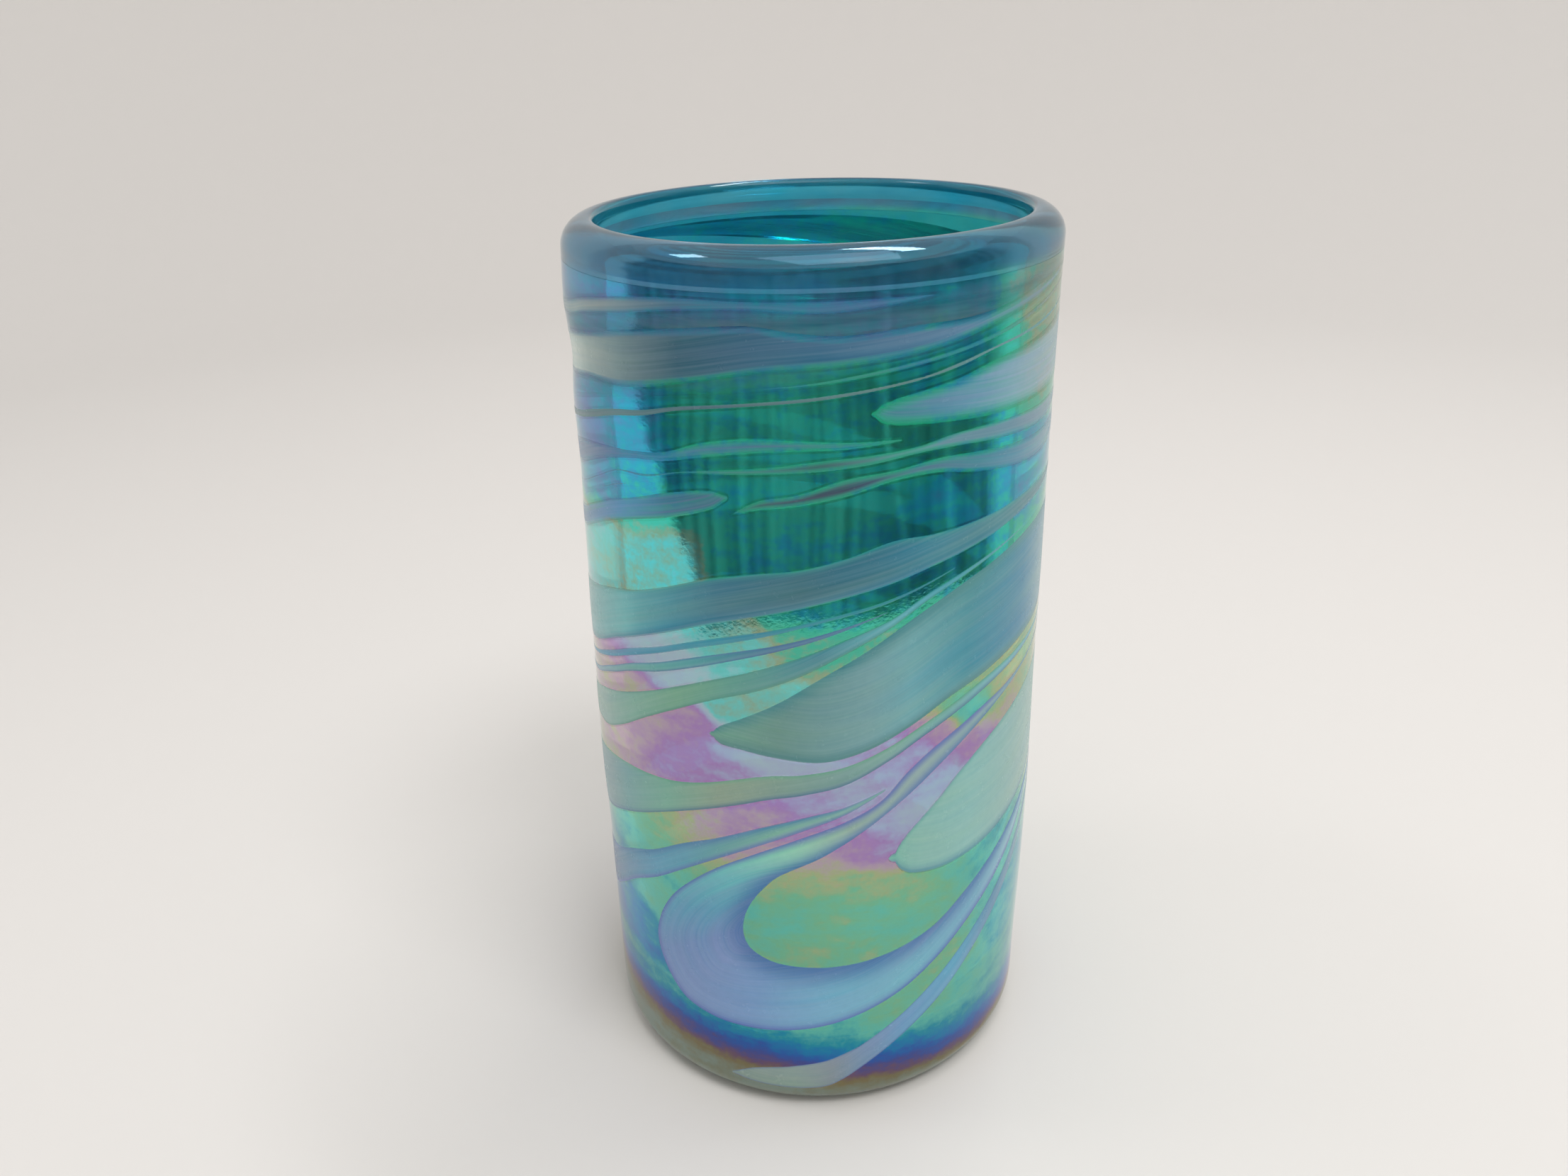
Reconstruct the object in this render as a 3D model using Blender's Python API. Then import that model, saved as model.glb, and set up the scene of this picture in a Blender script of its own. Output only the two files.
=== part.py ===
"""Hand blown art glass vase: a straight tumbler-shaped cylinder of teal glass with combed opal trails.

Lengths below are in millimetres and angles in degrees, and everything is built in metres with +Z up.
The origin is the centre of the circle that the vase stands on. Angle 0 on the wall faces -Y and
angles grow towards +X, so a point on the wall at angle a is (r sin a, -r cos a).

The masses of glass are made in the order that a gaffer adds them: the blown core gather, the opal
trails rolled flush into its wall, the second gather that thickens the base, the scar where the punty
held it, and the fire-polished bead of the lip. Neighbours keep GAP between them.
"""

import math

import bmesh
import bpy

MM = 0.001

# Driving dimensions
HEIGHT = 150.0
WALL = 4.4
GAP = 0.3
FLOOR_Z = 11.0
HEEL_RADIUS = 5.0
LIP_RADIUS = 4.0
LIP_INNER_RADIUS = 0.8
SEGMENTS = 48

# Outside radius of the wall, read at a few heights between the heel and the lip
WALL_HEIGHTS = (5.0, 45.0, 90.0, 127.5, 146.0)
WALL_RADII = (39.44, 39.74, 39.20, 38.77, 38.68)

# Base: a ring to stand on, a shallow kick-up inside it and the ground punty scar in the middle
STAND_INNER_RADIUS = 29.0
KICK_UP = 1.4
SCAR_RADIUS = 8.5
SCAR_THICKNESS = 1.2
BASE_SEAM_Z = 3.0
BASE_CROWN_Z = 5.4
CORNER_RADIUS = 9.0

# Lip: the bead sits over a tongue on top of the core wall
LIP_SEAM_Z = 144.5
TONGUE_HEIGHT = 1.7
TONGUE_THICKNESS = 2.1

# Trails: how deep they lie in the wall, and how finely they are built
TRAIL_DEPTH = 1.0
TRAIL_STEP = 8.0
TRAIL_SPREAD = 9.0
CUTTER_STAND_OUT = 2.0
STEEPEST_EDGE = 0.35

COLOURS = {
    "teal_glass": ((0.02, 0.33, 0.38), 0.06, 0.85),
    "base_glass": ((0.03, 0.28, 0.36), 0.08, 0.85),
    "lip_glass": ((0.05, 0.25, 0.36), 0.05, 0.85),
    "punty_scar": ((0.20, 0.45, 0.48), 0.35, 0.6),
    "opal_lavender": ((0.38, 0.50, 0.68), 0.12, 0.1),
    "opal_sea": ((0.36, 0.60, 0.56), 0.12, 0.1),
    "opal_slate": ((0.25, 0.40, 0.50), 0.12, 0.1),
    "opal_teal": ((0.10, 0.46, 0.55), 0.12, 0.1),
}

# Trails that run round the wall as bands: (angle, lower edge, upper edge) at each station. An angle past
# 180 has gone round the back, and 360 is the front again.
BANDS = {
    "opal_trail_low_sweep": ("opal_lavender", (
        (88, 6.2, 7.5), (100, 6.4, 11.0), (120, 7.5, 15.0), (150, 9.5, 19.0), (200, 14.5, 26.0),
        (240, 20.5, 32.5), (270, 26.0, 38.0), (285, 28.8, 40.0), (295, 33.5, 42.3), (305, 39.0, 46.3),
        (315, 43.5, 50.0), (325, 48.6, 54.5), (335, 53.3, 58.0), (345, 57.3, 61.3), (355, 60.6, 63.7),
        (365, 63.5, 65.5), (374, 66.9, 67.8))),
    "opal_trail_mid_sweep": ("opal_sea", (
        (150, 27.0, 28.5), (160, 27.5, 33.0), (185, 31.0, 41.0), (220, 36.5, 49.5), (255, 42.5, 56.5),
        (285, 47.5, 61.0), (305, 53.5, 64.2), (325, 60.3, 66.6), (345, 65.7, 70.8), (355, 67.3, 71.6),
        (365, 69.0, 72.8), (375, 72.3, 75.3), (385, 75.8, 78.5), (400, 79.5, 82.0), (415, 81.7, 83.6),
        (435, 83.9, 85.2), (455, 87.0, 88.3), (475, 90.5, 91.7))),
    "opal_trail_back_tongue": ("opal_sea", (
        (92, 36.6, 38.4), (97, 34.0, 42.0), (106, 32.6, 46.0), (122, 33.2, 50.3), (142, 36.5, 54.0),
        (165, 41.5, 57.5), (190, 47.0, 60.0), (215, 52.5, 62.5), (240, 57.8, 65.5), (265, 62.6, 69.5),
        (285, 65.8, 73.0), (295, 67.4, 75.4), (305, 71.0, 77.9), (315, 75.4, 80.8), (325, 79.3, 83.9),
        (335, 82.7, 86.8), (345, 85.2, 89.3), (355, 88.1, 91.9), (365, 91.7, 94.6), (375, 95.2, 97.2),
        (385, 99.0, 100.7), (400, 102.5, 103.7), (415, 104.7, 105.6), (435, 106.3, 107.0))),
    "opal_trail_heel_thread": ("opal_lavender", (
        (-24, 5.4, 6.6), (-18, 4.8, 8.9), (-8, 4.7, 10.7), (0, 5.2, 12.1), (5, 7.0, 13.6),
        (10, 9.6, 15.4), (20, 14.6, 20.3), (30, 19.9, 25.9), (40, 26.0, 31.5), (50, 32.0, 36.9),
        (60, 38.3, 42.3), (70, 44.8, 47.9), (80, 50.2, 52.2), (100, 54.2, 55.9), (130, 58.4, 60.2),
        (170, 64.0, 66.0), (220, 69.3, 71.3), (260, 72.8, 74.4), (285, 75.3, 76.8), (300, 79.4, 81.2),
        (310, 82.5, 84.5), (320, 84.9, 87.1), (330, 87.5, 89.8), (340, 90.0, 92.0), (350, 92.2, 93.8),
        (360, 94.4, 95.7), (374, 97.7, 98.5))),
    "opal_trail_fine_thread": ("opal_teal", (
        (215, 73.0, 73.8), (240, 74.8, 75.8), (265, 76.5, 77.6), (285, 78.7, 79.9), (300, 82.3, 84.1),
        (310, 85.3, 87.2), (320, 88.1, 89.8), (330, 90.8, 92.5), (340, 93.0, 94.7), (350, 95.0, 96.4),
        (360, 97.0, 98.2), (375, 99.4, 100.5), (390, 102.6, 103.5))),
    "opal_trail_sea_tongue": ("opal_sea", (
        (16.8, 52.4, 54.6), (18.5, 50.8, 56.6), (22, 49.7, 59.4), (28, 48.9, 63.3), (34, 48.9, 67.0),
        (42, 49.4, 70.3), (50, 50.3, 72.6), (60, 52.0, 74.8), (75, 55.5, 77.5), (100, 59.6, 81.0),
        (125, 62.4, 83.5), (160, 67.0, 85.5), (200, 72.0, 87.0), (220, 74.9, 88.5), (250, 77.8, 90.2),
        (285, 81.3, 93.0), (305, 87.0, 96.6), (315, 89.9, 98.5), (325, 92.8, 101.0), (335, 95.5, 103.6),
        (345, 97.5, 105.1), (355, 99.2, 106.0), (365, 100.8, 107.6), (375, 102.3, 109.6),
        (385, 104.0, 109.7), (400, 106.0, 110.2), (415, 107.7, 110.9), (435, 109.2, 111.4),
        (460, 112.5, 114.0), (480, 115.5, 116.3))),
    "opal_trail_great_tongue": ("opal_sea", (
        (-25.2, 76.2, 77.8), (-23.5, 75.2, 79.0), (-18, 74.7, 81.0), (-10, 73.8, 84.1), (0, 73.2, 88.6),
        (10, 74.7, 92.6), (20, 77.6, 96.7), (30, 80.8, 99.8), (40, 82.5, 102.0), (55, 84.5, 104.2),
        (75, 86.5, 105.4), (95, 89.6, 107.0), (115, 92.8, 109.5), (150, 98.8, 111.6), (200, 108.8, 115.2),
        (240, 114.8, 118.4), (285, 120.5, 122.4), (300, 122.9, 124.8), (310, 124.7, 126.4),
        (320, 126.0, 127.5), (330, 127.7, 129.0), (345, 129.1, 130.3), (360, 130.1, 131.3),
        (380, 131.7, 132.8), (390, 132.8, 134.0), (400, 134.1, 135.2), (415, 135.1, 136.3),
        (435, 137.0, 138.0), (450, 139.3, 140.1))),
    "opal_trail_slate_tongue": ("opal_slate", (
        (145, 89.3, 90.3), (165, 89.9, 93.2), (200, 93.0, 97.3), (240, 97.2, 101.8), (270, 100.3, 105.0),
        (285, 101.8, 106.3), (295, 104.4, 108.8), (305, 107.2, 111.5), (315, 109.4, 113.6),
        (325, 111.2, 115.8), (333, 112.9, 117.0), (337, 114.0, 117.2), (339.3, 115.2, 116.8))),
    "opal_trail_lower_comb": ("opal_slate", (
        (-19, 113.4, 114.2), (-13, 114.3, 116.4), (-5, 115.0, 117.4), (5, 116.3, 119.5),
        (15, 118.0, 120.2), (25, 118.2, 121.0), (35, 116.9, 120.6), (50, 115.4, 119.7), (65, 115.1, 119.4),
        (85, 116.8, 120.8), (100, 118.8, 122.4), (130, 122.5, 126.5), (165, 126.5, 130.5),
        (200, 130.0, 134.0), (240, 133.3, 137.0), (285, 136.5, 139.7), (300, 138.4, 141.5),
        (315, 140.0, 143.0), (330, 141.4, 143.8), (345, 142.0, 143.8), (360, 141.5, 143.8),
        (375, 142.2, 143.8), (384, 142.9, 143.7))),
    "opal_trail_violet_sweep": ("opal_lavender", (
        (170, 97.3, 98.3), (200, 101.0, 105.3), (240, 106.6, 111.8), (270, 110.2, 116.0),
        (285, 112.5, 117.8), (295, 114.9, 119.2), (305, 117.3, 120.2), (315, 119.0, 120.9),
        (325, 119.9, 121.9), (335, 121.4, 124.2), (345, 122.5, 125.3), (355, 123.0, 125.2),
        (365, 123.1, 124.8), (376, 123.6, 124.6))),
    "opal_trail_upper_comb": ("opal_slate", (
        (255, 105.8, 106.6), (285, 109.6, 110.6), (300, 113.4, 114.4), (310, 116.2, 117.2),
        (320, 116.9, 118.0), (330, 118.6, 119.6), (340, 119.2, 120.6), (350, 119.7, 121.4),
        (360, 120.1, 122.3), (370, 120.7, 122.7), (380, 121.5, 123.2), (390, 121.5, 124.1),
        (405, 120.6, 124.0), (420, 120.0, 123.7), (435, 120.7, 123.8), (455, 123.0, 124.3),
        (468, 124.9, 125.8))),
    "opal_trail_short_thread": ("opal_lavender", (
        (272, 106.2, 107.0), (285, 107.6, 108.5), (300, 111.5, 112.4), (310, 114.0, 115.0),
        (321, 116.0, 116.6))),
    "opal_trail_pale_tongue": ("opal_lavender", (
        (10.6, 127.4, 128.8), (12, 126.5, 129.6), (15, 125.9, 130.3), (22, 125.5, 131.1),
        (30, 125.1, 131.9), (40, 124.6, 133.3), (55, 124.4, 134.4), (75, 124.8, 136.2), (95, 127.2, 138.2),
        (120, 131.0, 140.5), (150, 135.5, 142.5), (185, 138.8, 143.3), (215, 141.2, 143.4),
        (238, 142.6, 143.5))),
    "opal_trail_high_sweep": ("opal_slate", (
        (150, 117.5, 118.5), (170, 118.6, 122.5), (200, 121.0, 126.5), (240, 123.5, 131.0),
        (270, 126.0, 134.0), (285, 127.2, 135.2), (300, 128.8, 136.7), (315, 129.5, 138.4),
        (330, 131.4, 139.8), (345, 133.4, 140.7), (355, 134.1, 139.8), (365, 134.5, 139.3),
        (380, 135.4, 139.9), (390, 136.4, 139.9), (400, 137.6, 140.4), (415, 139.2, 142.0),
        (435, 141.6, 143.5), (448, 142.8, 143.8))),
}

# The great loop at the foot doubles back on itself, so each of its stations gives a point on the outer
# edge and one on the inner edge, as (angle, height).
LOOP_NAME = "opal_trail_great_loop"
LOOP_COLOUR = "opal_lavender"
LOOP = (
    ((125, 60.4), (125, 61.4)), ((100, 57.1), (100, 58.8)), ((75, 52.6), (75, 54.8)),
    ((60, 44.9), (60, 49.9)), ((50, 39.9), (48, 45.9)), ((40, 35.1), (38, 42.2)),
    ((30, 30.1), (28, 38.0)), ((20, 25.4), (18, 35.5)), ((10, 22.0), (9, 34.1)), ((0, 19.7), (0, 33.5)),
    ((-10, 18.4), (-8, 33.7)), ((-20, 17.8), (-13, 34.4)), ((-30, 17.9), (-17, 36.0)),
    ((-39, 19.6), (-18.7, 37.8)), ((-45, 24.5), (-19.2, 39.6)), ((-47.2, 30.0), (-19, 41.5)),
    ((-45, 36.0), (-18.2, 43.8)), ((-40, 42.0), (-16.5, 46.4)), ((-33, 47.4), (-14, 49.0)),
    ((-25, 52.2), (-10.5, 51.7)), ((-15, 56.6), (-6, 53.6)), ((-5, 60.0), (0, 55.8)),
    ((5, 62.8), (8, 59.4)), ((13, 65.7), (15, 62.8)), ((20, 70.4), (22, 66.2)), ((28, 73.9), (30, 70.0)),
    ((40, 77.1), (41, 74.3)), ((50, 78.6), (50, 76.8)), ((60, 80.0), (60, 78.8)),
    ((75, 82.3), (75, 81.0)), ((95, 85.6), (95, 84.3)), ((115, 88.9), (115, 87.9)),
)


# Shapes that the masses share

def outside_radius(height):
    """Radius of the outer wall at a height, with the heel's rounding below the straight wall."""
    if height < HEEL_RADIUS:
        reach = math.sqrt(max(HEEL_RADIUS ** 2 - (HEEL_RADIUS - height) ** 2, 0.0))
        return WALL_RADII[0] - HEEL_RADIUS + reach
    for low, high, near, far in zip(WALL_HEIGHTS, WALL_HEIGHTS[1:], WALL_RADII, WALL_RADII[1:]):
        if height <= high:
            return near + (far - near) * (height - low) / (high - low)
    return WALL_RADII[-1]


def arc(centre_r, centre_z, radius, start, end, steps):
    """Profile points (radius, height) on an arc, with its angles in degrees from the +r direction."""
    points = []
    for step in range(steps + 1):
        angle = math.radians(start + (end - start) * step / steps)
        points.append((centre_r + radius * math.cos(angle), centre_z + radius * math.sin(angle)))
    return points


def on_wall(angle, height, inset):
    """A point on the wall, moved inwards by inset, in metres."""
    radius = (outside_radius(height) - inset) * MM
    turn = math.radians(angle)
    return (radius * math.sin(turn), -radius * math.cos(turn), height * MM)


def material(name):
    colour, roughness, transmission = COLOURS[name]
    made = bpy.data.materials.get(name)
    if made:
        return made
    made = bpy.data.materials.new(name)
    made.use_nodes = True
    shader = made.node_tree.nodes["Principled BSDF"]
    shader.inputs["Base Color"].default_value = (*colour, 1.0)
    shader.inputs["Roughness"].default_value = roughness
    shader.inputs["Metallic"].default_value = 0.0
    shader.inputs["Transmission Weight"].default_value = transmission
    return made


def object_from(name, shape, colour):
    """Closes off a bmesh as a smooth-shaded object with its own material."""
    bmesh.ops.recalc_face_normals(shape, faces=shape.faces)
    mesh = bpy.data.meshes.new(name)
    shape.to_mesh(mesh)
    shape.free()
    mesh.materials.append(material(colour))
    mesh.shade_smooth()
    mesh.set_sharp_from_angle(angle=math.radians(35))
    made = bpy.data.objects.new(name, mesh)
    bpy.context.scene.collection.objects.link(made)
    made.parent = vase
    return made


def turned(name, profile, colour):
    """A solid turned about the axis. Its profile is a closed loop of (radius, height), and a point on
    the axis is one vertex."""
    shape = bmesh.new()
    rings = []
    for radius, height in profile:
        if radius == 0.0:
            rings.append([shape.verts.new((0.0, 0.0, height * MM))] * SEGMENTS)
            continue
        ring = []
        for step in range(SEGMENTS):
            turn = 2 * math.pi * step / SEGMENTS
            place = (radius * MM * math.sin(turn), -radius * MM * math.cos(turn), height * MM)
            ring.append(shape.verts.new(place))
        rings.append(ring)
    for first, second in zip(rings, rings[1:] + rings[:1]):
        for step in range(SEGMENTS):
            after = (step + 1) % SEGMENTS
            corners = [first[step], first[after], second[after], second[step]]
            corners = list(dict.fromkeys(corners))
            if len(corners) > 2:
                shape.faces.new(corners)
    return object_from(name, shape, colour)


# Trails

def flat(angle, height):
    """A wall point laid out flat: distance round the wall, and height."""
    return (math.radians(angle) * WALL_RADII[1], height)


def smooth(values, station, share):
    """Catmull-Rom value between station and the next one, on a list of tuples."""
    last = len(values) - 1
    before, start = values[max(station - 1, 0)], values[station]
    end, after = values[min(station + 1, last)], values[min(station + 2, last)]
    found = []
    for p0, p1, p2, p3 in zip(before, start, end, after):
        slope_in = (p2 - p0) / 2
        slope_out = (p3 - p1) / 2
        square, cube = share ** 2, share ** 3
        found.append((2 * cube - 3 * square + 1) * p1 + (cube - 2 * square + share) * slope_in
                     + (3 * square - 2 * cube) * p2 + (cube - square) * slope_out)
    return tuple(found)


def ribs_of(stations):
    """Evenly spread cross-lines of a trail, each as (outer point, inner point) in (angle, height)."""
    flat_values = [outer + inner for outer, inner in stations]
    ribs = []
    for station in range(len(stations) - 1):
        start, end = flat_values[station], flat_values[station + 1]
        outer_run = math.dist(flat(*start[:2]), flat(*end[:2]))
        inner_run = math.dist(flat(*start[2:]), flat(*end[2:]))
        steps = max(1, round(max(outer_run, inner_run) / TRAIL_STEP))
        for step in range(steps):
            ribs.append(smooth(flat_values, station, step / steps))
    ribs.append(flat_values[-1])
    return [(rib[:2], rib[2:]) for rib in ribs]


def moved(point, towards, distance):
    """A wall point moved by a distance in the flat layout, along the direction of another vector."""
    length = math.hypot(*towards)
    degrees = math.degrees(towards[0] / length * distance / WALL_RADII[1])
    return (point[0] + degrees, point[1] + towards[1] / length * distance)


def widened(ribs, gap):
    """The ribs of a channel that clears the trail by gap on every side."""
    found = []
    last = len(ribs) - 1
    for index, (outer, inner) in enumerate(ribs):
        before, after = ribs[max(index - 1, 0)], ribs[min(index + 1, last)]
        here_outer, here_inner = flat(*outer), flat(*inner)
        across = (here_outer[0] - here_inner[0], here_outer[1] - here_inner[1])
        edges = []
        for side, sign in ((0, 1), (1, -1)):
            run_from, run_to = flat(*before[side]), flat(*after[side])
            along = (run_to[0] - run_from[0], run_to[1] - run_from[1])
            cross = abs(across[0] * along[1] - across[1] * along[0])
            slant = max(cross / (math.hypot(*across) * math.hypot(*along)), STEEPEST_EDGE)
            outward = (sign * across[0], sign * across[1])
            edges.append(moved((outer, inner)[side], outward, gap / slant))
        found.append(tuple(edges))
    for end, neighbour in ((0, 1), (last, last - 1)):
        middle_end = [sum(pair) / 2 for pair in zip(*map(lambda p: flat(*p), ribs[end]))]
        middle_next = [sum(pair) / 2 for pair in zip(*map(lambda p: flat(*p), ribs[neighbour]))]
        outward = (middle_end[0] - middle_next[0], middle_end[1] - middle_next[1])
        found[end] = tuple(moved(point, outward, gap) for point in found[end])
    return found


def ribbon(name, ribs, top_inset, bottom_inset, colour):
    """A curved slab that follows the wall between two depths."""
    spread = max(abs(outer[0] - inner[0]) for outer, inner in ribs)
    columns = max(1, math.ceil(spread / TRAIL_SPREAD))
    shape = bmesh.new()
    layers = []
    for inset in (top_inset, bottom_inset):
        rows = []
        for outer, inner in ribs:
            row = []
            for column in range(columns + 1):
                share = column / columns
                angle = outer[0] + (inner[0] - outer[0]) * share
                height = outer[1] + (inner[1] - outer[1]) * share
                row.append(shape.verts.new(on_wall(angle, height, inset)))
            rows.append(row)
        layers.append(rows)
    top, bottom = layers
    for here in range(len(ribs) - 1):
        for column in range(columns):
            for rows in layers:
                shape.faces.new((rows[here][column], rows[here][column + 1],
                                 rows[here + 1][column + 1], rows[here + 1][column]))
        for column in (0, columns):
            shape.faces.new((top[here][column], top[here + 1][column],
                             bottom[here + 1][column], bottom[here][column]))
    for here in (0, len(ribs) - 1):
        for column in range(columns):
            shape.faces.new((top[here][column], top[here][column + 1],
                             bottom[here][column + 1], bottom[here][column]))
    return object_from(name, shape, colour)


def inlay(name, stations, colour, wall):
    """One trail, and the channel that it lies in, cut from the wall."""
    ribs = ribs_of(stations)
    ribbon(name, ribs, 0.0, TRAIL_DEPTH, colour)
    cutter = ribbon("channel_" + name, widened(ribs, GAP), -CUTTER_STAND_OUT, TRAIL_DEPTH + GAP, colour)
    cutter.hide_render = True
    cutter.display_type = "WIRE"
    cut = wall.modifiers.new("cut_" + name, "BOOLEAN")
    cut.operation = "DIFFERENCE"
    cut.solver = "MANIFOLD"
    cut.object = cutter


# Turned masses

def make_core_gather():
    """The blown bubble: floor, rounded inner corner and wall, with a tongue on top for the lip bead."""
    inside = WALL_RADII[0] - WALL
    tongue_top = LIP_SEAM_Z + TONGUE_HEIGHT
    lip_inside = outside_radius(LIP_SEAM_Z) - WALL
    seam = BASE_SEAM_Z + GAP
    profile = [(0.0, BASE_CROWN_Z + GAP), (20.0, base_seat(20.0) + GAP), (30.0, base_seat(30.0) + GAP)]
    profile += [(outside_radius(seam), seam)]
    profile += [(outside_radius(height), height) for height in WALL_HEIGHTS[:-1]]
    profile += [(outside_radius(LIP_SEAM_Z), LIP_SEAM_Z), (lip_inside + TONGUE_THICKNESS, LIP_SEAM_Z)]
    profile += [(lip_inside + TONGUE_THICKNESS, tongue_top), (lip_inside, tongue_top)]
    profile += [(outside_radius(height) - WALL, height) for height in WALL_HEIGHTS[-2:0:-1]]
    profile += arc(inside - CORNER_RADIUS, FLOOR_Z + CORNER_RADIUS, CORNER_RADIUS, 0, -90, 6)
    profile += [(0.0, FLOOR_Z)]
    return turned("core_gather", profile, "teal_glass")


def base_seat(radius):
    """Height of the dome where the base gather meets the core."""
    return BASE_CROWN_Z + (BASE_SEAM_Z - BASE_CROWN_Z) * (radius / outside_radius(BASE_SEAM_Z)) ** 2


def make_base_gather():
    """The second gather: heel, ring to stand on, kick-up and the socket of the punty scar."""
    socket = SCAR_RADIUS + GAP
    socket_top = KICK_UP + SCAR_THICKNESS + GAP
    stand_outer = WALL_RADII[0] - HEEL_RADIUS
    profile = [(0.0, socket_top), (socket, socket_top), (socket, KICK_UP)]
    profile += [(20.0, KICK_UP * 0.72), (STAND_INNER_RADIUS, 0.0), (stand_outer, 0.0)]
    seam_angle = -math.degrees(math.asin((HEEL_RADIUS - BASE_SEAM_Z) / HEEL_RADIUS))
    profile += arc(stand_outer, HEEL_RADIUS, HEEL_RADIUS, -90, seam_angle, 4)[1:]
    profile += [(30.0, base_seat(30.0)), (20.0, base_seat(20.0)), (0.0, BASE_CROWN_Z)]
    return turned("base_gather", profile, "base_glass")


def make_punty_scar():
    """The ground disc where the punty was broken off. It clears the table."""
    top = KICK_UP + SCAR_THICKNESS
    profile = [(0.0, KICK_UP), (SCAR_RADIUS, KICK_UP), (SCAR_RADIUS, top), (0.0, top)]
    return turned("punty_scar", profile, "punty_scar")


def make_lip_bead():
    """The fire-polished lip: a wide round outside, a tighter round inside, over the wall's tongue."""
    outside = outside_radius(HEIGHT)
    inside = outside_radius(LIP_SEAM_Z) - WALL
    skirt_inside = inside + TONGUE_THICKNESS + GAP
    tongue_clear = LIP_SEAM_Z + TONGUE_HEIGHT + GAP
    profile = [(outside_radius(LIP_SEAM_Z + GAP), LIP_SEAM_Z + GAP)]
    profile += arc(outside - LIP_RADIUS, HEIGHT - LIP_RADIUS, LIP_RADIUS, 0, 90, 7)
    profile += arc(inside + LIP_INNER_RADIUS, HEIGHT - LIP_INNER_RADIUS, LIP_INNER_RADIUS, 100, 180, 3)
    profile += [(inside, tongue_clear), (skirt_inside, tongue_clear), (skirt_inside, LIP_SEAM_Z + GAP)]
    return turned("lip_bead", profile, "lip_glass")


for leftover in list(bpy.data.objects):
    bpy.data.objects.remove(leftover, do_unlink=True)

vase = bpy.data.objects.new("vase", None)
bpy.context.scene.collection.objects.link(vase)

core = make_core_gather()
make_base_gather()
make_punty_scar()
make_lip_bead()
inlay(LOOP_NAME, LOOP, LOOP_COLOUR, core)
for band_name, (band_colour, band) in BANDS.items():
    edges = tuple(((angle, low), (angle, high)) for angle, low, high in band)
    inlay(band_name, edges, band_colour, core)
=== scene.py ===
"""Looks of the hand blown vase: iridescent teal glass wound with opal trails, on a pale studio floor.

Lengths are in millimetres and angles in degrees until a point is placed. Angle 0 on the wall faces -Y
and angles grow towards +X. The numbers of the wall and of the trails repeat part.py's.
"""

import math

import bmesh
import bpy
import numpy as np
from mathutils import Matrix, Vector, noise


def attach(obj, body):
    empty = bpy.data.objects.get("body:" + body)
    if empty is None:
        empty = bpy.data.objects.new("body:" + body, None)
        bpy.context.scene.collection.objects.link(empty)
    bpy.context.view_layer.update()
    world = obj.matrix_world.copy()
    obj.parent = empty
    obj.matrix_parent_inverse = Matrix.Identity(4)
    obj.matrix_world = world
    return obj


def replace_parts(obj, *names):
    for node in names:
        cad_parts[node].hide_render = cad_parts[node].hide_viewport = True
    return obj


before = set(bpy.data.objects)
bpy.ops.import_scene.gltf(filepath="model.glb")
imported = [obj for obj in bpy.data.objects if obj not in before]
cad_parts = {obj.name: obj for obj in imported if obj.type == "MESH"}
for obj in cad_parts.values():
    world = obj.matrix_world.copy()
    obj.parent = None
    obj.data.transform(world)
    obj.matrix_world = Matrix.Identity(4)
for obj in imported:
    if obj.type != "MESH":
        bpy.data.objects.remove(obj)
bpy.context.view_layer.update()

MM = 0.001
BODY = "root"

# Wall, floor and lip
HEIGHT = 150.0
WALL = 4.4
FLOOR_Z = 11.0
HEEL_RADIUS = 5.0
LIP_RADIUS = 4.0
LIP_INNER_RADIUS = 1.1
LIP_SWELL = 0.85
CORNER_RADIUS = 9.0
WALL_HEIGHTS = (5.0, 45.0, 90.0, 127.5, 146.0)
WALL_RADII = (39.44, 39.74, 39.20, 38.77, 38.68)
STAND_INNER_RADIUS = 29.0
KICK_UP = 1.4
SCAR_SOCKET_RADIUS = 8.8
SCAR_SOCKET_TOP = 2.9
BASE_SEAM_Z = 3.0
BASE_CROWN_Z = 5.4
LIP_SEAM_Z = 144.5
SEAM = 0.02

# Handwork: the wall leans a little and is nowhere quite round
LEAN = 0.010
WAVES = (
    # (waves round the wall, height of one wave, turn, depth)
    (2, 190.0, 20, 0.16), (3, 118.0, 75, 0.10), (1, 64.0, 140, 0.12), (4, 83.0, 200, 0.06),
    (5, 41.0, 10, 0.035), (7, 29.0, 300, 0.022),
)
DENTS = (
    # (angle, height, depth, reach round the wall, reach up the wall), all lengths along the wall
    (-88, 130, 0.55, 22, 4.5), (-84, 113, 0.20, 20, 6.0), (-95, 139, -0.25, 20, 5.0),
    (60, 52, 0.15, 18, 10), (150, 96, 0.30, 20, 8.0),
)

# Meshes
AROUND = 360
WALL_STEP = 0.75
RIB_STEP = 0.9
COLUMNS = 18
TRAIL_DEPTH = 0.9
TRAIL_TUCK = 0.012
TRAIL_LIFT = 0.008
TRAIL_CROWN = 0.06
EDGE_WIDTH = 0.7


# Geometry of the wall

wall_curve = np.poly1d(np.polyfit(WALL_HEIGHTS, WALL_RADII, len(WALL_HEIGHTS) - 1))


def outside_radius(height):
    """Radius of the outer wall at heights, with the heel's rounding below the straight wall."""
    height = np.asarray(height, float)
    drop = np.clip(HEEL_RADIUS - height, 0.0, HEEL_RADIUS)
    reach = np.sqrt(np.maximum(HEEL_RADIUS ** 2 - drop ** 2, 0.0))
    return wall_curve(np.clip(height, HEEL_RADIUS, WALL_HEIGHTS[-1])) - HEEL_RADIUS + reach


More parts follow.
